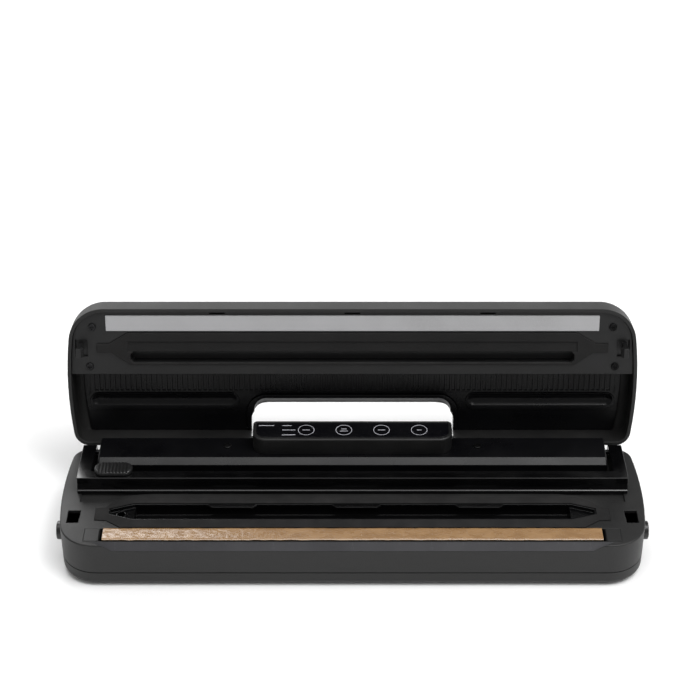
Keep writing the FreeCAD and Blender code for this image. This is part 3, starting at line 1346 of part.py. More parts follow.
LID = {
    "lid_shell": lid_shell,
    "lid_plate": lid_plate,
    "lid_gasket": lid_gasket,
    "press_strip": press_strip,
    "lid_hooks": lid_hooks,
    "lid_plate_screws": lid_plate_screws,
    "lid_liner": lid_liner,
    "window_frame": window_frame,
}

SIDED = {
    "release_button": release_button,
    "latch_catch": latch_catch,
    "release_spring": release_spring,
}

for name, make in FIXED.items():
    save(name, make())
for name, make in LID.items():
    save(name, open_lid(make()))
for name, make in SIDED.items():
    save(name + "_left", make(-1))
    save(name + "_right", make(1))
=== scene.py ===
# %% [markdown]
# # A bar vacuum sealer, dressed around its packed design
# The design already fixes where every part sits and how it moves. This lesson gives those parts
# their looks: soft moulded edges, textured plastic, a woven non-stick tape, foam and silicone.
# The first step only loads the design. The finished model has to stay inside it.

# %% Load the design
import json
import math

import bmesh
import bpy
from mathutils import Matrix, Vector, noise


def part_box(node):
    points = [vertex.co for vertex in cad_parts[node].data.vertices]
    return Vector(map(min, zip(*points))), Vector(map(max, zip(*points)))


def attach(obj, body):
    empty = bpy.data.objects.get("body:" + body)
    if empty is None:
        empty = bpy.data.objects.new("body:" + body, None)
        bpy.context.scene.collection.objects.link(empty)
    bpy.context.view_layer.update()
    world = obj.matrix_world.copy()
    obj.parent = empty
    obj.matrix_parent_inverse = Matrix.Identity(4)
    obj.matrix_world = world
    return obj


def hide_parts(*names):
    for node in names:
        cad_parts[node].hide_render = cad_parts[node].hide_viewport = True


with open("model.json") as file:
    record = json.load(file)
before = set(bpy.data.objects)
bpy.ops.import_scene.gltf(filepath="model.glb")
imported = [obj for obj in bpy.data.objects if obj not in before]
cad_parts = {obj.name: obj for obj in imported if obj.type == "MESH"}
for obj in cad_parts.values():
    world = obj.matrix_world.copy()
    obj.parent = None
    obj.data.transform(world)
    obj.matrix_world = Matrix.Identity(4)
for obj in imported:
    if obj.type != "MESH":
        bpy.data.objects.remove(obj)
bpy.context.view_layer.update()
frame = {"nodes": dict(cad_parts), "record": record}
nodes = frame["nodes"]
record = frame["record"]
body_of_node = {n: b for b, members in record["behaviour"]["bodies"].items() for n in members}
MM = 0.001

# %% [markdown]
# ## Camera, floor and light
# The camera comes first, because every later choice is judged through it. It stands a little over
# a metre away with a long lens, looking down at about 35 degrees, so the bar looks almost
# flat-on. A camera is easier to place as a target, a distance and two angles than as a bare
# position, so that is how it is written.

# %% Camera
CAMERA_TARGET = Vector((-0.0016, 0.0872, 0.0889))
CAMERA_DISTANCE = 1.2
CAMERA_ELEVATION = math.radians(35.14)
CAMERA_TURN = math.radians(0.0)
CAMERA_LENS = 91.54

back = Vector((
    math.sin(CAMERA_TURN) * math.cos(CAMERA_ELEVATION),
    -math.cos(CAMERA_TURN) * math.cos(CAMERA_ELEVATION),
    math.sin(CAMERA_ELEVATION),
))
camera_data = bpy.data.cameras.new("camera")
camera_data.lens = CAMERA_LENS
camera_data.clip_start = 0.05
camera = bpy.data.objects.new("camera", camera_data)
camera.location = CAMERA_TARGET + back * CAMERA_DISTANCE
camera.rotation_mode = "QUATERNION"
camera.rotation_quaternion = (-back).to_track_quat("-Z", "Y")
bpy.context.scene.collection.objects.link(camera)
bpy.context.scene.camera = camera
print("camera at", [round(v, 3) for v in camera.location])

# %% [markdown]
# ## Floor
# A bmesh becomes an object through one small helper, which also leaves the object at the origin
# with its place in its mesh. The floor is a single flat sheet, several metres wide, so that its
# edge stays out of sight.

# %% Floor
def link(obj):
    bpy.context.scene.collection.objects.link(obj)
    return obj


def object_from(bm, name):
    """Turns a bmesh into an object at the origin, with its place in its mesh."""
    mesh = bpy.data.meshes.new(name)
    bm.to_mesh(mesh)
    bm.free()
    return link(bpy.data.objects.new(name, mesh))


FLOOR_HALF = 4.0
floor_bm = bmesh.new()
bmesh.ops.create_grid(floor_bm, x_segments=1, y_segments=1, size=FLOOR_HALF)
floor = object_from(floor_bm, "floor")

floor_paint = bpy.data.materials.new("floor_paint")
floor_paint.use_nodes = True
floor_shader = floor_paint.node_tree.nodes["Principled BSDF"]
floor_shader.inputs["Base Color"].default_value = (0.93, 0.93, 0.93, 1)
floor_shader.inputs["Roughness"].default_value = 0.7
floor.data.materials.append(floor_paint)
print("floor, m", 2 * FLOOR_HALF)

# %% [markdown]
# ## Room
# A black object on white is mostly what it reflects. The room is evenly pale, with a brighter band
# low behind the object: surfaces that face up are seen at a slant, so they mirror that band, while
# the front and the inside of the open lid don't. It could be a large white board, but a gradient
# in the world costs nothing and casts no shadow.

# %% Room
ROOM_LEVEL = 0.40
BACKDROP_EXTRA = 1.0

world = bpy.data.worlds.new("studio")
bpy.context.scene.world = world
world.use_nodes = True
world.node_tree.nodes["Background"].inputs["Color"].default_value = (1, 1, 1, 1)


def ranged(made, links, value, low, high, to_low, to_high):
    """Maps a value from one range to another, clamped."""
    node = made.new("ShaderNodeMapRange")
    for label, number in (("From Min", low), ("From Max", high), ("To Min", to_low), ("To Max", to_high)):
        node.inputs[label].default_value = number
    links.new(value, node.inputs["Value"])
    return node.outputs["Result"]


def brighter_backdrop(tree, base, extra):
    """The room is evenly pale, with a brighter band low behind the object."""
    made, links = tree.nodes, tree.links
    split = made.new("ShaderNodeSeparateXYZ")
    links.new(made.new("ShaderNodeTexCoord").outputs["Generated"], split.inputs["Vector"])
    band = ranged(made, links, split.outputs["Z"], 0.08, 0.45, 1.0, 0.0)
    behind = ranged(made, links, split.outputs["Y"], 0.2, 0.8, 0.0, 1.0)
    both = made.new("ShaderNodeMath")
    both.operation = "MULTIPLY"
    links.new(band, both.inputs[0])
    links.new(behind, both.inputs[1])
    links.new(ranged(made, links, both.outputs["Value"], 0.0, 1.0, base, base + extra),
              made["Background"].inputs["Strength"])


brighter_backdrop(world.node_tree, ROOM_LEVEL, BACKDROP_EXTRA)
bpy.context.scene.view_settings.view_transform = "Standard"
print("room level", ROOM_LEVEL, "behind", ROOM_LEVEL + BACKDROP_EXTRA)

# %% [markdown]
# ## Lights
# Three soft panels do the rest. The key stands high on the right. One behind on the left glances
# off the tape and the left end of the deck. The one overhead is what the sloping front of the
# rear housing mirrors as a pale line.

# %% Lights
def soft_panel(name, place, aim, width, height, watts):
    """A rectangular softbox that faces the point it is aimed at."""
    data = bpy.data.lights.new(name, "AREA")
    data.shape = "RECTANGLE"
    data.size = width
    data.size_y = height
    data.energy = watts
    lamp = link(bpy.data.objects.new(name, data))
    lamp.location = place
    lamp.rotation_euler = (Vector(aim) - Vector(place)).to_track_quat("-Z", "Y").to_euler()
    return lamp


soft_panel("key", (0.9, -0.45, 1.6), (0, 0, 0), 1.1, 1.1, 22)
soft_panel("back_left", (-0.5, 1.15, 0.95), (-0.1, 0, 0), 0.55, 0.5, 8)
soft_panel("overhead", (0.0, -0.15, 1.7), (0, 0, 0), 1.3, 0.7, 12)

# %% [markdown]
# ## Effects that several finishes share
# Effects that many finishes use are shader node groups, built once and placed with other numbers.
# A group only puts out values; the shader itself stays in each material. These helpers make an
# empty group and the noise that both groups need.

# %% Helpers for shader groups
def new_group(name, numbers, outputs):
    """An empty shader group with number inputs, given as name: default, and value outputs."""
    group = bpy.data.node_groups.new(name, "ShaderNodeTree")
    for label, value in numbers.items():
        socket = group.interface.new_socket(label, in_out="INPUT", socket_type="NodeSocketFloat")
        socket.default_value = value
    for label in outputs:
        group.interface.new_socket(label, in_out="OUTPUT", socket_type="NodeSocketFloat")
    made = group.nodes
    return group, made, group.links, made.new("NodeGroupInput"), made.new("NodeGroupOutput")


def cloud(made, links, place, scale, detail=2.0):
    node = made.new("ShaderNodeTexNoise")
    node.inputs["Detail"].default_value = detail
    links.new(place, node.inputs["Vector"])
    if isinstance(scale, (int, float)):
        node.inputs["Scale"].default_value = scale
    else:
        links.new(scale, node.inputs["Scale"])
    return node.outputs["Fac"]


# %% [markdown]
# ## Mould grain
# Moulded plastic is never one flat colour: the steel mould is spark-eroded, which leaves a fine
# grain, and handling leaves broad, faint patches. Noise gives both, at two scales, and the cells of
# a Voronoi texture give pale specks. It reads object coordinates, so it needs no unwrapping.

# %% Mould grain
def build_grain():
    """Spark-eroded grain: fine height, and a broad patchiness from handling."""
    group, made, links, inside, outside = new_group(
        "moulded_grain", {"Grain Scale": 2600.0, "Patch Scale": 22.0}, ["Height", "Patches", "Speckle"])
    place = made.new("ShaderNodeTexCoord").outputs["Object"]
    fine = cloud(made, links, place, inside.outputs["Grain Scale"], 3.0)
    patches = cloud(made, links, place, inside.outputs["Patch Scale"], 4.0)
    cells = made.new("ShaderNodeTexVoronoi")
    links.new(place, cells.inputs["Vector"])
    links.new(inside.outputs["Grain Scale"], cells.inputs["Scale"])
    speckle = ranged(made, links, cells.outputs["Distance"], 0.0, 0.5, 1.0, 0.0)
    links.new(fine, outside.inputs["Height"])
    links.new(ranged(made, links, patches, 0.35, 0.65, 0.0, 1.0), outside.inputs["Patches"])
    links.new(speckle, outside.inputs["Speckle"])
    return group


grain_group = build_grain()
print("group", grain_group.name)

# %% [markdown]
# ## Dust
# Dust lies only on faces that look up, so the surface's own normal is the mask. Two noises, a soft
# haze and small flecks, are joined by taking the larger of the two.

# %% Dust
def build_dust():
    """Thin dust and lint: it settles on faces that look up, in small uneven flecks."""
    group, made, links, inside, outside = new_group("settled_dust", {"Amount": 0.4}, ["Dust"])
    geometry = made.new("ShaderNodeNewGeometry")
    place = made.new("ShaderNodeTexCoord").outputs["Object"]
    split = made.new("ShaderNodeSeparateXYZ")
    links.new(geometry.outputs["Normal"], split.inputs["Vector"])
    upward = ranged(made, links, split.outputs["Z"], 0.2, 1.0, 0.0, 1.0)
    haze = ranged(made, links, cloud(made, links, place, 90.0, 6.0), 0.45, 0.75, 0.0, 0.5)
    flecks = ranged(made, links, cloud(made, links, place, 1400.0, 1.0), 0.66, 0.74, 0.0, 1.0)
    most = made.new("ShaderNodeMath")
    most.operation = "MAXIMUM"
    links.new(haze, most.inputs[0])
    links.new(flecks, most.inputs[1])
    settled = made.new("ShaderNodeMath")
    settled.operation = "MULTIPLY"
    links.new(most.outputs["Value"], settled.inputs[0])
    links.new(upward, settled.inputs[1])
    scaled = made.new("ShaderNodeMath")
    scaled.operation = "MULTIPLY"
    links.new(settled.outputs["Value"], scaled.inputs[0])
    links.new(inside.outputs["Amount"], scaled.inputs[1])
    links.new(scaled.outputs["Value"], outside.inputs["Dust"])
    return group


dust_group = build_dust()
print("group", dust_group.name)

# %% [markdown]
# ## Moulded plastics
# One builder makes every plastic: two close tones mixed by the patches, a roughness that drifts
# with them, a grain bump, and a trace of dust. First come the small steps that it and the other
# finishes share.

# %% Helpers for materials
def plain_material(name, colour, roughness, metallic=0.0, specular=0.5):
    material = bpy.data.materials.new(name)
    material.use_nodes = True
    shader = material.node_tree.nodes["Principled BSDF"]
    shader.inputs["Base Color"].default_value = (*colour, 1)
    shader.inputs["Roughness"].default_value = roughness
    shader.inputs["Metallic"].default_value = metallic
    shader.inputs["Specular IOR Level"].default_value = specular
    return material, material.node_tree.nodes, material.node_tree.links, shader


def mixed_colour(made, links, factor, first, second):
    """Two colours mixed by a value; each may be a plain colour or a socket."""
    node = made.new("ShaderNodeMix")
    node.data_type = "RGBA"
    links.new(factor, node.inputs["Factor"])
    for socket, colour in ((node.inputs[6], first), (node.inputs[7], second)):
        if isinstance(colour, tuple):
            socket.default_value = (*colour, 1)
        else:
            links.new(colour, socket)
    return node.outputs[2]


def bumped(made, links, height, strength, distance, shader):
    bump = made.new("ShaderNodeBump")
    bump.inputs["Strength"].default_value = strength
    bump.inputs["Distance"].default_value = distance
    links.new(height, bump.inputs["Height"])
    links.new(bump.outputs["Normal"], shader.inputs["Normal"])


def placed(made, group, **numbers):
    node = made.new("ShaderNodeGroup")
    node.node_tree = group
    for label, value in numbers.items():
        node.inputs[label.replace("_", " ")].default_value = value
    return node


# %% [markdown]
# The builder itself only wires these steps together. The dust comes last in the colour, because it
# lies on top of everything else.

# %% Plastic builder
DUST_COLOUR = (0.30, 0.29, 0.28)
GRAIN_DEPTH = 0.2 * MM


def moulded_plastic(name, dark, light, rough, rough_spread, grain, grain_scale, dust, specular):
    """Plastic with two close tones, drifting roughness, mould grain and a trace of dust."""
    material, made, links, shader = plain_material(name, dark, rough, specular=specular)
    effect = placed(made, grain_group, Grain_Scale=grain_scale)
    tone = mixed_colour(made, links, effect.outputs["Patches"], dark, light)
    flecked = mixed_colour(made, links, effect.outputs["Speckle"], tone, light)
    settled = placed(made, dust_group, Amount=dust)
    colour = mixed_colour(made, links, settled.outputs["Dust"], flecked, DUST_COLOUR)
    links.new(colour, shader.inputs["Base Color"])
    roughness = ranged(made, links, effect.outputs["Patches"], 0.0, 1.0,
                       rough - rough_spread, rough + rough_spread)
    links.new(roughness, shader.inputs["Roughness"])
    bumped(made, links, effect.outputs["Height"], grain, GRAIN_DEPTH, shader)
    return material


# %% [markdown]
# Only numbers differ between the finishes. The case and the lid's plate are dark greys. The lid's
# liner and the rear housing are darker copies of the plate's black, a painted shade for the hollows
# under and inside the open lid, with a low specular level, or the white room would turn them grey.
# The cutter frame and the vacuum trough are polished black.

# %% Plastic finishes
PLASTICS = {
    # finish: dark tone, light tone, roughness, its spread, grain strength, grain scale, dust, specular
    "case_plastic": ((0.0078, 0.0078, 0.0078), (0.0122, 0.0121, 0.0119), 0.48, 0.05, 0.60, 1500, 0.02, 0.38),
    "black_satin": ((0.0065, 0.0065, 0.0067), (0.0098, 0.0098, 0.0100), 0.42, 0.05, 0.30, 2600, 0.01, 0.35),
    # painted shade: a darker copy of the plate's black for the liner and the collar inside the lid
    "liner_black_painted_shade": ((0.0014, 0.0014, 0.0018), (0.0026, 0.0026, 0.0031), 0.30, 0.05, 0.15, 2600, 0.005, 0.2),
    # painted shade: a darker copy of the plate's black for the rear housing under the open lid
    "housing_black_painted_shade": ((0.0018, 0.0018, 0.0022), (0.0028, 0.0028, 0.0034), 0.28, 0.05, 0.10, 2600, 0.005, 0.22),
    "black_gloss": ((0.0010, 0.0010, 0.0012), (0.0018, 0.0018, 0.0020), 0.14, 0.04, 0.02, 2600, 0.01, 0.45),
    "inner_plastic": ((0.010, 0.010, 0.010), (0.018, 0.018, 0.018), 0.50, 0.05, 0.20, 2600, 0.02, 0.5),
    "knob_plastic": ((0.0050, 0.0050, 0.0052), (0.0090, 0.0090, 0.0092), 0.34, 0.05, 0.25, 2600, 0.02, 0.5),
    "ruler_band": ((0.0250, 0.0245, 0.0280), (0.0350, 0.0345, 0.0385), 0.45, 0.05, 0.40, 1500, 0.02, 0.5),
    "gasket_foam": ((0.0100, 0.0098, 0.0098), (0.0160, 0.0156, 0.0156), 0.85, 0.05, 1.00, 1500, 0.04, 0.2),
    "press_silicone": ((0.335, 0.335, 0.341), (0.385, 0.385, 0.394), 0.55, 0.06, 0.12, 1200, 0.05, 0.4),
    "foot_rubber": ((0.008, 0.008, 0.008), (0.014, 0.014, 0.014), 0.80, 0.05, 0.40, 2600, 0.05, 0.3),
    "touch_glass": ((0.0026, 0.0026, 0.0034), (0.0036, 0.0036, 0.0046), 0.12, 0.03, 0.0, 2600, 0.01, 0.5),
    "wire_cover": ((0.35, 0.03, 0.02), (0.45, 0.05, 0.03), 0.50, 0.05, 0.20, 2600, 0.02, 0.5),
    "hose_rubber": ((0.50, 0.50, 0.48), (0.60, 0.60, 0.58), 0.40, 0.05, 0.10, 2600, 0.02, 0.5),
    "circuit_board": ((0.01, 0.08, 0.03), (0.015, 0.11, 0.04), 0.40, 0.05, 0.10, 2600, 0.02, 0.5),
    "capacitor_can": ((0.02, 0.03, 0.12), (0.03, 0.04, 0.16), 0.35, 0.05, 0.05, 2600, 0.02, 0.5),
    "white_print": ((0.42, 0.42, 0.46), (0.52, 0.52, 0.56), 0.50, 0.05, 0.05, 2600, 0.0, 0.3),
    "grey_print": ((0.050, 0.050, 0.054), (0.070, 0.070, 0.075), 0.55, 0.05, 0.10, 2600, 0.0, 0.3),
}
finishes = {name: moulded_plastic(name, *numbers) for name, numbers in PLASTICS.items()}
print("plastics", len(finishes))

# %% [markdown]
# ## Metals
# Screws are black zinc, pins and springs are ground steel. The same grain group gives their tone
# and roughness a slight streakiness. Most of them are hidden inside, but the plate's screws show.

# %% Metal finishes
METAL_DEPTH = 0.1 * MM


def worked_metal(name, dark, light, rough, rough_spread, grain_scale=900.0):
    """Metal with streaky tone and roughness."""
    material, made, links, shader = plain_material(name, dark, rough, metallic=1.0)
    effect = placed(made, grain_group, Grain_Scale=grain_scale)
    colour = mixed_colour(made, links, effect.outputs["Patches"], dark, light)
    links.new(colour, shader.inputs["Base Color"])
    roughness = ranged(made, links, effect.outputs["Height"], 0.3, 0.7,
                       rough - rough_spread, rough + rough_spread)
    links.new(roughness, shader.inputs["Roughness"])
    bumped(made, links, effect.outputs["Height"], 0.1, METAL_DEPTH, shader)
    return material


METALS = {
    "screw_steel": ((0.010, 0.010, 0.010), (0.030, 0.030, 0.031), 0.40, 0.08),
    "pin_steel": ((0.45, 0.45, 0.46), (0.56, 0.56, 0.57), 0.25, 0.08),
    "motor_steel": ((0.50, 0.50, 0.50), (0.60, 0.60, 0.60), 0.35, 0.08),
    "transformer_core": ((0.20, 0.19, 0.18), (0.28, 0.27, 0.25), 0.50, 0.10),
}
for name, numbers in METALS.items():
    finishes[name] = worked_metal(name, *numbers)
finishes["heat_block"] = finishes["inner_plastic"]
for name in ("heater_steel", "blade_steel", "spring_steel"):
    finishes[name] = finishes["pin_steel"]
print("finishes", len(finishes))

# %% [markdown]
# ## Woven sealing tape
# The heater is covered by glass cloth with a brown non-stick coating. Up close it shows a plain
# weave about half a millimetre across; the crowns of its threads are painted lighter, a painted
# sheen. Two crossed wave textures on object coordinates make the weave, so that it needs no
# unwrapping. A stretched cloud mottles the brown, a finer one crumples the bump, and a coat gives
# the glaze.

# %% Tape finish
WEAVE = 0.55 * MM
CRUMPLE_DEPTH = 0.3 * MM
WAVE_REPEATS = 3.1416  # about what a wave texture of Scale 1 repeats in a metre


def woven_tape():
    material, made, links, shader = plain_material("sealing_tape", (0.36, 0.19, 0.09), 0.34, specular=0.6)
    place = made.new("ShaderNodeTexCoord").outputs["Object"]
    threads = []
    for direction in ("X", "Y"):
        wave = made.new("ShaderNodeTexWave")
        wave.bands_direction = direction
        wave.inputs["Scale"].default_value = 1.0 / (WEAVE * WAVE_REPEATS)
        links.new(place, wave.inputs["Vector"])
        threads.append(wave.outputs["Fac"])
    weave = made.new("ShaderNodeMath")
    weave.operation = "MULTIPLY"
    for socket, thread in zip(weave.inputs, threads):
        links.new(thread, socket)
    stretch = made.new("ShaderNodeMapping")
    stretch.inputs["Scale"].default_value = (90.0, 160.0, 60.0)
    links.new(place, stretch.inputs["Vector"])
    mottle = ranged(made, links, cloud(made, links, stretch.outputs["Vector"], 1.0, 4.0),
                    0.35, 0.65, 0.0, 1.0)
    body = mixed_colour(made, links, mottle, (0.200, 0.102, 0.036), (0.275, 0.152, 0.060))
    # painted sheen: the crowns of the weave are mixed towards a lighter brown
    colour = mixed_colour(made, links, weave.outputs["Value"], body, (0.350, 0.212, 0.092))
    links.new(colour, shader.inputs["Base Color"])
    links.new(ranged(made, links, mottle, 0.0, 1.0, 0.20, 0.36), shader.inputs["Roughness"])
    shader.inputs["Coat Weight"].default_value = 0.8
    shader.inputs["Coat Roughness"].default_value = 0.18
    crumple = made.new("ShaderNodeMapping")
    crumple.inputs["Scale"].default_value = (520.0, 300.0, 60.0)
    links.new(place, crumple.inputs["Vector"])
    height = made.new("ShaderNodeMath")
    height.operation = "MULTIPLY_ADD"
    links.new(weave.outputs["Value"], height.inputs[0])
    height.inputs[1].default_value = 0.35
    links.new(cloud(made, links, crumple.outputs["Vector"], 1.0, 2.0), height.inputs[2])
    bumped(made, links, height.outputs["Value"], 0.55, CRUMPLE_DEPTH, shader)
    return material


finishes["sealing_tape"] = woven_tape()
print("weave, mm", WEAVE / MM)

# %% [markdown]
# ## Softened copies of the moulded parts
# A moulded part has no knife edges: every corner carries a small radius that catches a thin
# highlight. The design's mesh is loose triangles, so a copy is welded first, flat triangles are
# dissolved into whole faces, and then the sharp edges are bevelled with an operator. These two
# helpers find the edges and give every finished piece its shading, material and body.

# %% Helpers for pieces
WELD = 0.001 * MM


def sharp_edges(bm, degrees):
    limit = math.radians(degrees)
    return [e for e in bm.edges if len(e.link_faces) == 2 and e.calc_face_angle(0) > limit]


def finished(obj, finish, body, replaced=(), sharp=35.0):
    """Common last step of a piece: shading, material, body and the part it stands for."""
    mesh = obj.data
    for polygon in mesh.polygons:
        polygon.use_smooth = True
    mesh.set_sharp_from_angle(angle=math.radians(sharp))
    mesh.materials.clear()
    mesh.materials.append(finish)
    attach(obj, body)
    if replaced:
        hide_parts(*replaced)
    return obj


# %% [markdown]
# A large face with a hole, such as the liner round its window, is dissolved into one face that
# doubles back on itself. A bevel could fill its hole, so faces that aren't convex are split first.

# %% Softening
FLAT_ANGLE = 0.4
SHARP_ANGLE = 30.0


def softened(node, edge, segments=2, degrees=SHARP_ANGLE, finish=None):
    """Welds a copy of a part's mesh, rounds its sharp edges, and shows it instead of the part."""
    bm = bmesh.new()
    bm.from_mesh(nodes[node].data)
    bmesh.ops.remove_doubles(bm, verts=bm.verts, dist=WELD)
    bmesh.ops.dissolve_limit(bm, angle_limit=math.radians(FLAT_ANGLE), verts=bm.verts, edges=bm.edges)
    bmesh.ops.connect_verts_concave(bm, faces=[face for face in bm.faces if len(face.verts) > 4])
    edges = sharp_edges(bm, degrees)
    bmesh.ops.bevel(bm, geom=edges, offset=edge, offset_type="OFFSET", segments=segments, profile=0.5,
                    affect="EDGES", clamp_overlap=False, material=-1)
    open_edges = sum(1 for e in bm.edges if len(e.link_faces) != 2)
    print(node, "bevelled", len(edges), "faces", len(bm.faces), "open", open_edges)
    obj = object_from(bm, node + "_moulding")
    slot = slot_of[node]
    weighted = obj.modifiers.new("flat faces stay flat", "WEIGHTED_NORMAL")
    weighted.keep_sharp = True
    return finished(obj, finish or finishes[slot], body_of_node[node], [node])


# %% [markdown]
# Each moulded part has its own edge radius, in millimetres: a thick case is rounder than a thin
# panel. The liner, the collar and the rear housing share a slot with the lid's plate, but get a
# darker copy of its black: a painted shade for the hollows under and inside the open lid.

# %% Softened copies
slot_of = {part["node"]: part["material_slot"] for part in record["subparts"]}
SOFT_EDGES = {
    "base_shell": 0.25, "bottom_pan": 0.25, "rear_housing": 0.3, "control_pod": 0.3, "cutter_frame": 0.35,
    "lid_shell": 0.3, "lid_plate": 0.25, "lid_liner": 0.2, "window_frame": 0.3, "lid_hooks": 0.25,
    "vacuum_trough": 0.2, "touch_panel": 0.1, "seal_bar_clamps": 0.15, "press_strip": 0.5,
    "cutter_knob": 0.15, "release_button_left": 0.2, "release_button_right": 0.2,
    "seal_bar_carrier": 0.2, "suction_port": 0.1, "power_inlet": 0.2, "rubber_feet": 0.1,
}
# painted shade: these parts take darker copies of their slot's black, for the hollows they sit in
PAINTED_SHADE_FINISHES = {"lid_liner": "liner_black_painted_shade", "window_frame": "liner_black_painted_shade",
          "rear_housing": "housing_black_painted_shade"}
mouldings = {node: softened(node, edge * MM, finish=finishes[PAINTED_SHADE_FINISHES.get(node, slot_of[node])])
             for node, edge in SOFT_EDGES.items()}
print("softened", len(mouldings))

# %% [markdown]
# ## Foam gaskets
# The two gaskets are closed-cell foam, die-cut from sheet and pressed into their grooves. Foam
# can't hold a sharp arris: its lips roll over. They get a wider, rounder bevel than the plastic.

# %% Gaskets
FOAM_EDGE = 0.3 * MM

for node in ("base_gasket", "lid_gasket"):
    gasket = softened(node, FOAM_EDGE, segments=3)
    mouldings[node] = gasket

# %% [markdown]
# ## Parts that keep their shape
# The rest are small, hidden or already right, so they stay as they are designed and only take
# their finish by slot.

# %% Finishes for the other parts
for node, obj in nodes.items():
    if node not in mouldings:
        obj.data.materials.clear()
        obj.data.materials.append(finishes[slot_of[node]])
print("kept as designed", len(nodes) - len(mouldings))

# %% [markdown]
# ## The tape itself
# A strip of cloth stretched over the heating ribbon is never quite flat. It could be a bump map,
# but then its edge would stay ruler-straight, so the sheet is a fine grid whose points are moved:
# the long edges turn down into the slot, and shallow creases run across it, strongest near the
# left end where bags are laid first. Solidify then gives the cloth its thickness.

# %% Tape sheet
CLOTH = 0.12 * MM
CREASE = 0.26 * MM
EDGE_TURN = 0.5 * MM
EDGE_WANDER = 0.25 * MM
WORN_SHARE = 0.42


def tape_sheet():
    low, high = (Vector(c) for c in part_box("ptfe_tape"))
    size = high - low
    middle = (low + high) / 2
    bm = bmesh.new()
    bmesh.ops.create_grid(bm, x_segments=480, y_segments=14, size=0.5)
    bmesh.ops.scale(bm, vec=(size.x, size.y, 1.0), verts=bm.verts)
    bmesh.ops.translate(bm, vec=(middle.x, middle.y, high.z), verts=bm.verts)
    for vert in bm.verts:
        across = abs(vert.co.y - middle.y) / (size.y / 2)
        along = (vert.co.x - low.x) / size.x
        worn = 0.3 + 0.7 * max(0.0, 1.0 - along / WORN_SHARE)
        crease = noise.noise(Vector((vert.co.x * 210, vert.co.y * 330, 0.3)))
        fold = noise.noise(Vector((vert.co.x * 60 + vert.co.y * 240, 4.7, 1.1)))
        drop = (abs(crease) + 0.6 * abs(fold)) * worn * CREASE
        turned = max(0.0, across - 0.8) / 0.2
        vert.co.z -= drop + turned ** 2 * EDGE_TURN
        if turned > 0.9:
            vert.co.y += EDGE_WANDER * crease
    bmesh.ops.solidify(bm, geom=bm.faces[:], thickness=CLOTH)
    bmesh.ops.recalc_face_normals(bm, faces=bm.faces)
    print("tape, mm", [round(v / MM, 2) for v in size], "faces", len(bm.faces))
    return object_from(bm, "sealing_tape_sheet")


finished(tape_sheet(), finishes["sealing_tape"], "base", ["ptfe_tape"])

# %% [markdown]
# ## Printed marks
# The touch keys are rings printed behind the panel's face, each with a plain mark inside, and
# short rules beside them stand for the status lamps' captions. Print has almost no thickness, so
# every mark is a flat shape that is given a few hundredths of a millimetre, just proud of the
# surface that carries it.

# %% Helpers for prints
PRINT = 0.03 * MM


def thickened(bm, height):
    bmesh.ops.recalc_face_normals(bm, faces=bm.faces)
    if bm.faces and sum(f.normal.z for f in bm.faces) < 0:
        bmesh.ops.reverse_faces(bm, faces=bm.faces)
    made = bmesh.ops.extrude_face_region(bm, geom=bm.faces[:])
    raised = [v for v in made["geom"] if isinstance(v, bmesh.types.BMVert)]
    bmesh.ops.translate(bm, vec=(0, 0, height), verts=raised)
    bmesh.ops.recalc_face_normals(bm, faces=bm.faces)


def add_ring(bm, x, y, radius, width, segments=64):
    first = bmesh.ops.create_circle(bm, cap_ends=False, segments=segments, radius=radius)["verts"]
    edges = list({e for v in first for e in v.link_edges})
    made = bmesh.ops.extrude_edge_only(bm, edges=edges)["geom"]
    inner = [v for v in made if isinstance(v, bmesh.types.BMVert)]
    share = (radius - width) / radius
    bmesh.ops.scale(bm, vec=(share, share, 1), verts=inner)
    bmesh.ops.translate(bm, vec=(x, y, 0), verts=first + inner)


def add_bar(bm, x0, x1, y, height):
    made = bmesh.ops.create_grid(bm, x_segments=1, y_segments=1, size=0.5)["verts"]
    bmesh.ops.scale(bm, vec=(x1 - x0, height, 1), verts=made)
    bmesh.ops.translate(bm, vec=((x0 + x1) / 2, y, 0), verts=made)


# %% [markdown]
# ## Touch keys
# Four keys stand in a row at one pitch. Each ring holds one or two bars as a plain mark, and the
# bars to the left are the captions of the status lamps. All are in millimetres.

# %% Touch keys
KEY_PITCH = 24.93 * MM
KEY_FIRST = -30.6 * MM
KEY_RADIUS = 5.4 * MM
RING_WIDTH = 0.34 * MM
MARK_HEIGHT = 0.55 * MM
panel_low, panel_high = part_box("touch_panel")
key_y = (panel_low[1] + panel_high[1]) / 2
bm = bmesh.new()
INNER_MARKS = (
    # start, end and height of each bar, for the four keys
    ((-2.4, 2.4, 0.0),),
    ((-1.8, 1.8, 1.1), (-2.6, 2.6, -1.1)),
    ((-2.4, 2.4, 0.0),),
    ((-1.6, 1.6, 0.0),),
)
for k, marks in enumerate(INNER_MARKS):
    key_x = KEY_FIRST + k * KEY_PITCH
    add_ring(bm, key_x, key_y, KEY_RADIUS, RING_WIDTH)
    for x0, x1, y in marks:
        add_bar(bm, key_x + x0 * MM, key_x + x1 * MM, key_y + y * MM, MARK_HEIGHT)
CAPTIONS = (
    # start, end, distance from the row of keys, thickness
    (-62.0, -52.0, 4.8, 0.5),
    (-46.4, -40.3, 4.8, 0.5),
    (-46.4, -37.7, 0.0, 0.5),
    (-46.4, -37.7, -5.2, 0.6),
)
for x0, x1, y, height in CAPTIONS:
    add_bar(bm, x0 * MM, x1 * MM, key_y + y * MM, height * MM)
bmesh.ops.translate(bm, vec=(0, 0, panel_high[2]), verts=bm.verts)
thickened(bm, PRINT)
finished(object_from(bm, "touch_key_print"), finishes["white_print"], "base")
print("keys at y, mm", round(key_y / MM, 1))

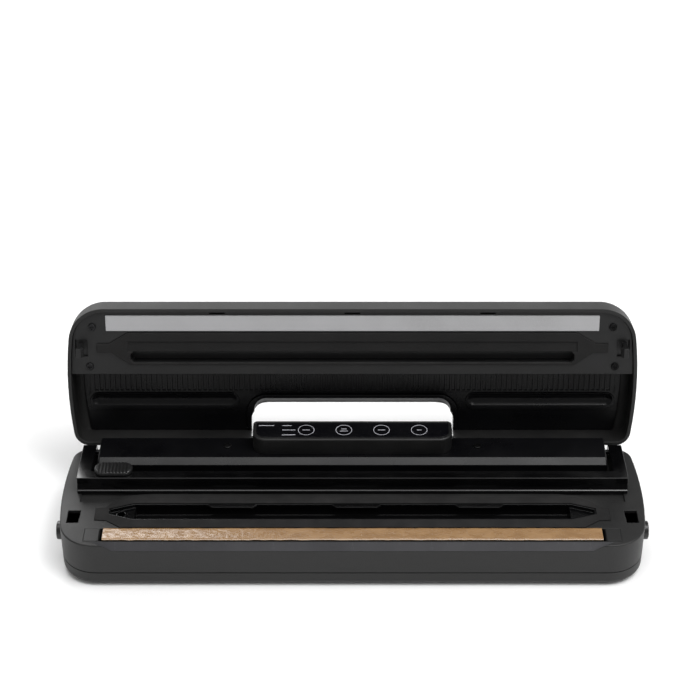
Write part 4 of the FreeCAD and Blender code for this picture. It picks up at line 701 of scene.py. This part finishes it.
# %% [markdown]
# ## Centimetre scale
# The front edge slopes, so that a bag can be measured against it. The scale is drawn flat, as
# rules and figures on the XY plane, and then turned onto the slope. The slope's place and tilt
# are read from the band's own largest face, which keeps the print on it whatever its angle.

# %% Place of the band
def slope_area(face):
    """Area of a face that looks up and forwards, and nothing for any other."""
    return face.area * max(0.0, face.normal.z) * (face.normal.y < -0.2)


strip = nodes["ruler_strip"].data
band = max(strip.polygons, key=slope_area)
band_angle = math.atan2(-band.normal.y, band.normal.z)
tilt = Matrix.Rotation(band_angle, 4, "X")
band_low, band_high = (Vector(c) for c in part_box("ruler_strip"))
band_middle = Vector((0, 0, 0))
corners = [strip.vertices[i].co for i in band.vertices]
band_middle.y = (min(c.y for c in corners) + max(c.y for c in corners)) / 2
band_middle.z = (min(c.z for c in corners) + max(c.z for c in corners)) / 2
BAND_EDGE = 0.6 * MM
band_width = math.hypot(band_high.y - band_low.y, band_high.z - band_low.z) - BAND_EDGE
print("band width, mm", round(band_width / MM, 2), "tilt", round(math.degrees(band_angle), 1))

# %% [markdown]
# Every centimetre has a rule, and every fifth one is longer and has its figure. The figures are
# text made into a mesh, which joins the rules in one piece before that is turned and moved.

# %% Centimetre scale
CENTIMETRE = 10 * MM
SCALE_LENGTH = 30
RULE_HALF = 0.16 * MM
PROUD = 0.005 * MM

bm = bmesh.new()
for centimetre in range(SCALE_LENGTH + 1):
    major = centimetre % 5 == 0
    length = band_width * (0.42 if major else 0.24)
    x = (centimetre - SCALE_LENGTH // 2) * CENTIMETRE
    add_bar(bm, x - RULE_HALF, x + RULE_HALF, band_width / 2 - length / 2, length)
for centimetre in range(0, SCALE_LENGTH + 1, 5):
    text = bpy.data.curves.new("figure", "FONT")
    text.body = str(centimetre)
    text.size = 2.2 * MM
    text.align_x = "CENTER"
    text.align_y = "CENTER"
    holder = bpy.data.objects.new("figure", text)
    outline = bpy.data.meshes.new_from_object(holder)
    x = (centimetre - SCALE_LENGTH // 2) * CENTIMETRE
    outline.transform(Matrix.Translation((x, -band_width * 0.22, 0)))
    bm.from_mesh(outline)
    bpy.data.objects.remove(holder)
    bpy.data.meshes.remove(outline)
    bpy.data.curves.remove(text)
thickened(bm, PRINT)
bmesh.ops.rotate(bm, cent=(0, 0, 0), matrix=tilt.to_3x3(), verts=bm.verts)
bmesh.ops.translate(bm, vec=band_middle + Vector(band.normal) * PROUD, verts=bm.verts)
scale_print = finished(object_from(bm, "centimetre_scale"), finishes["grey_print"], "base")
print("scale faces", len(scale_print.data.polygons))
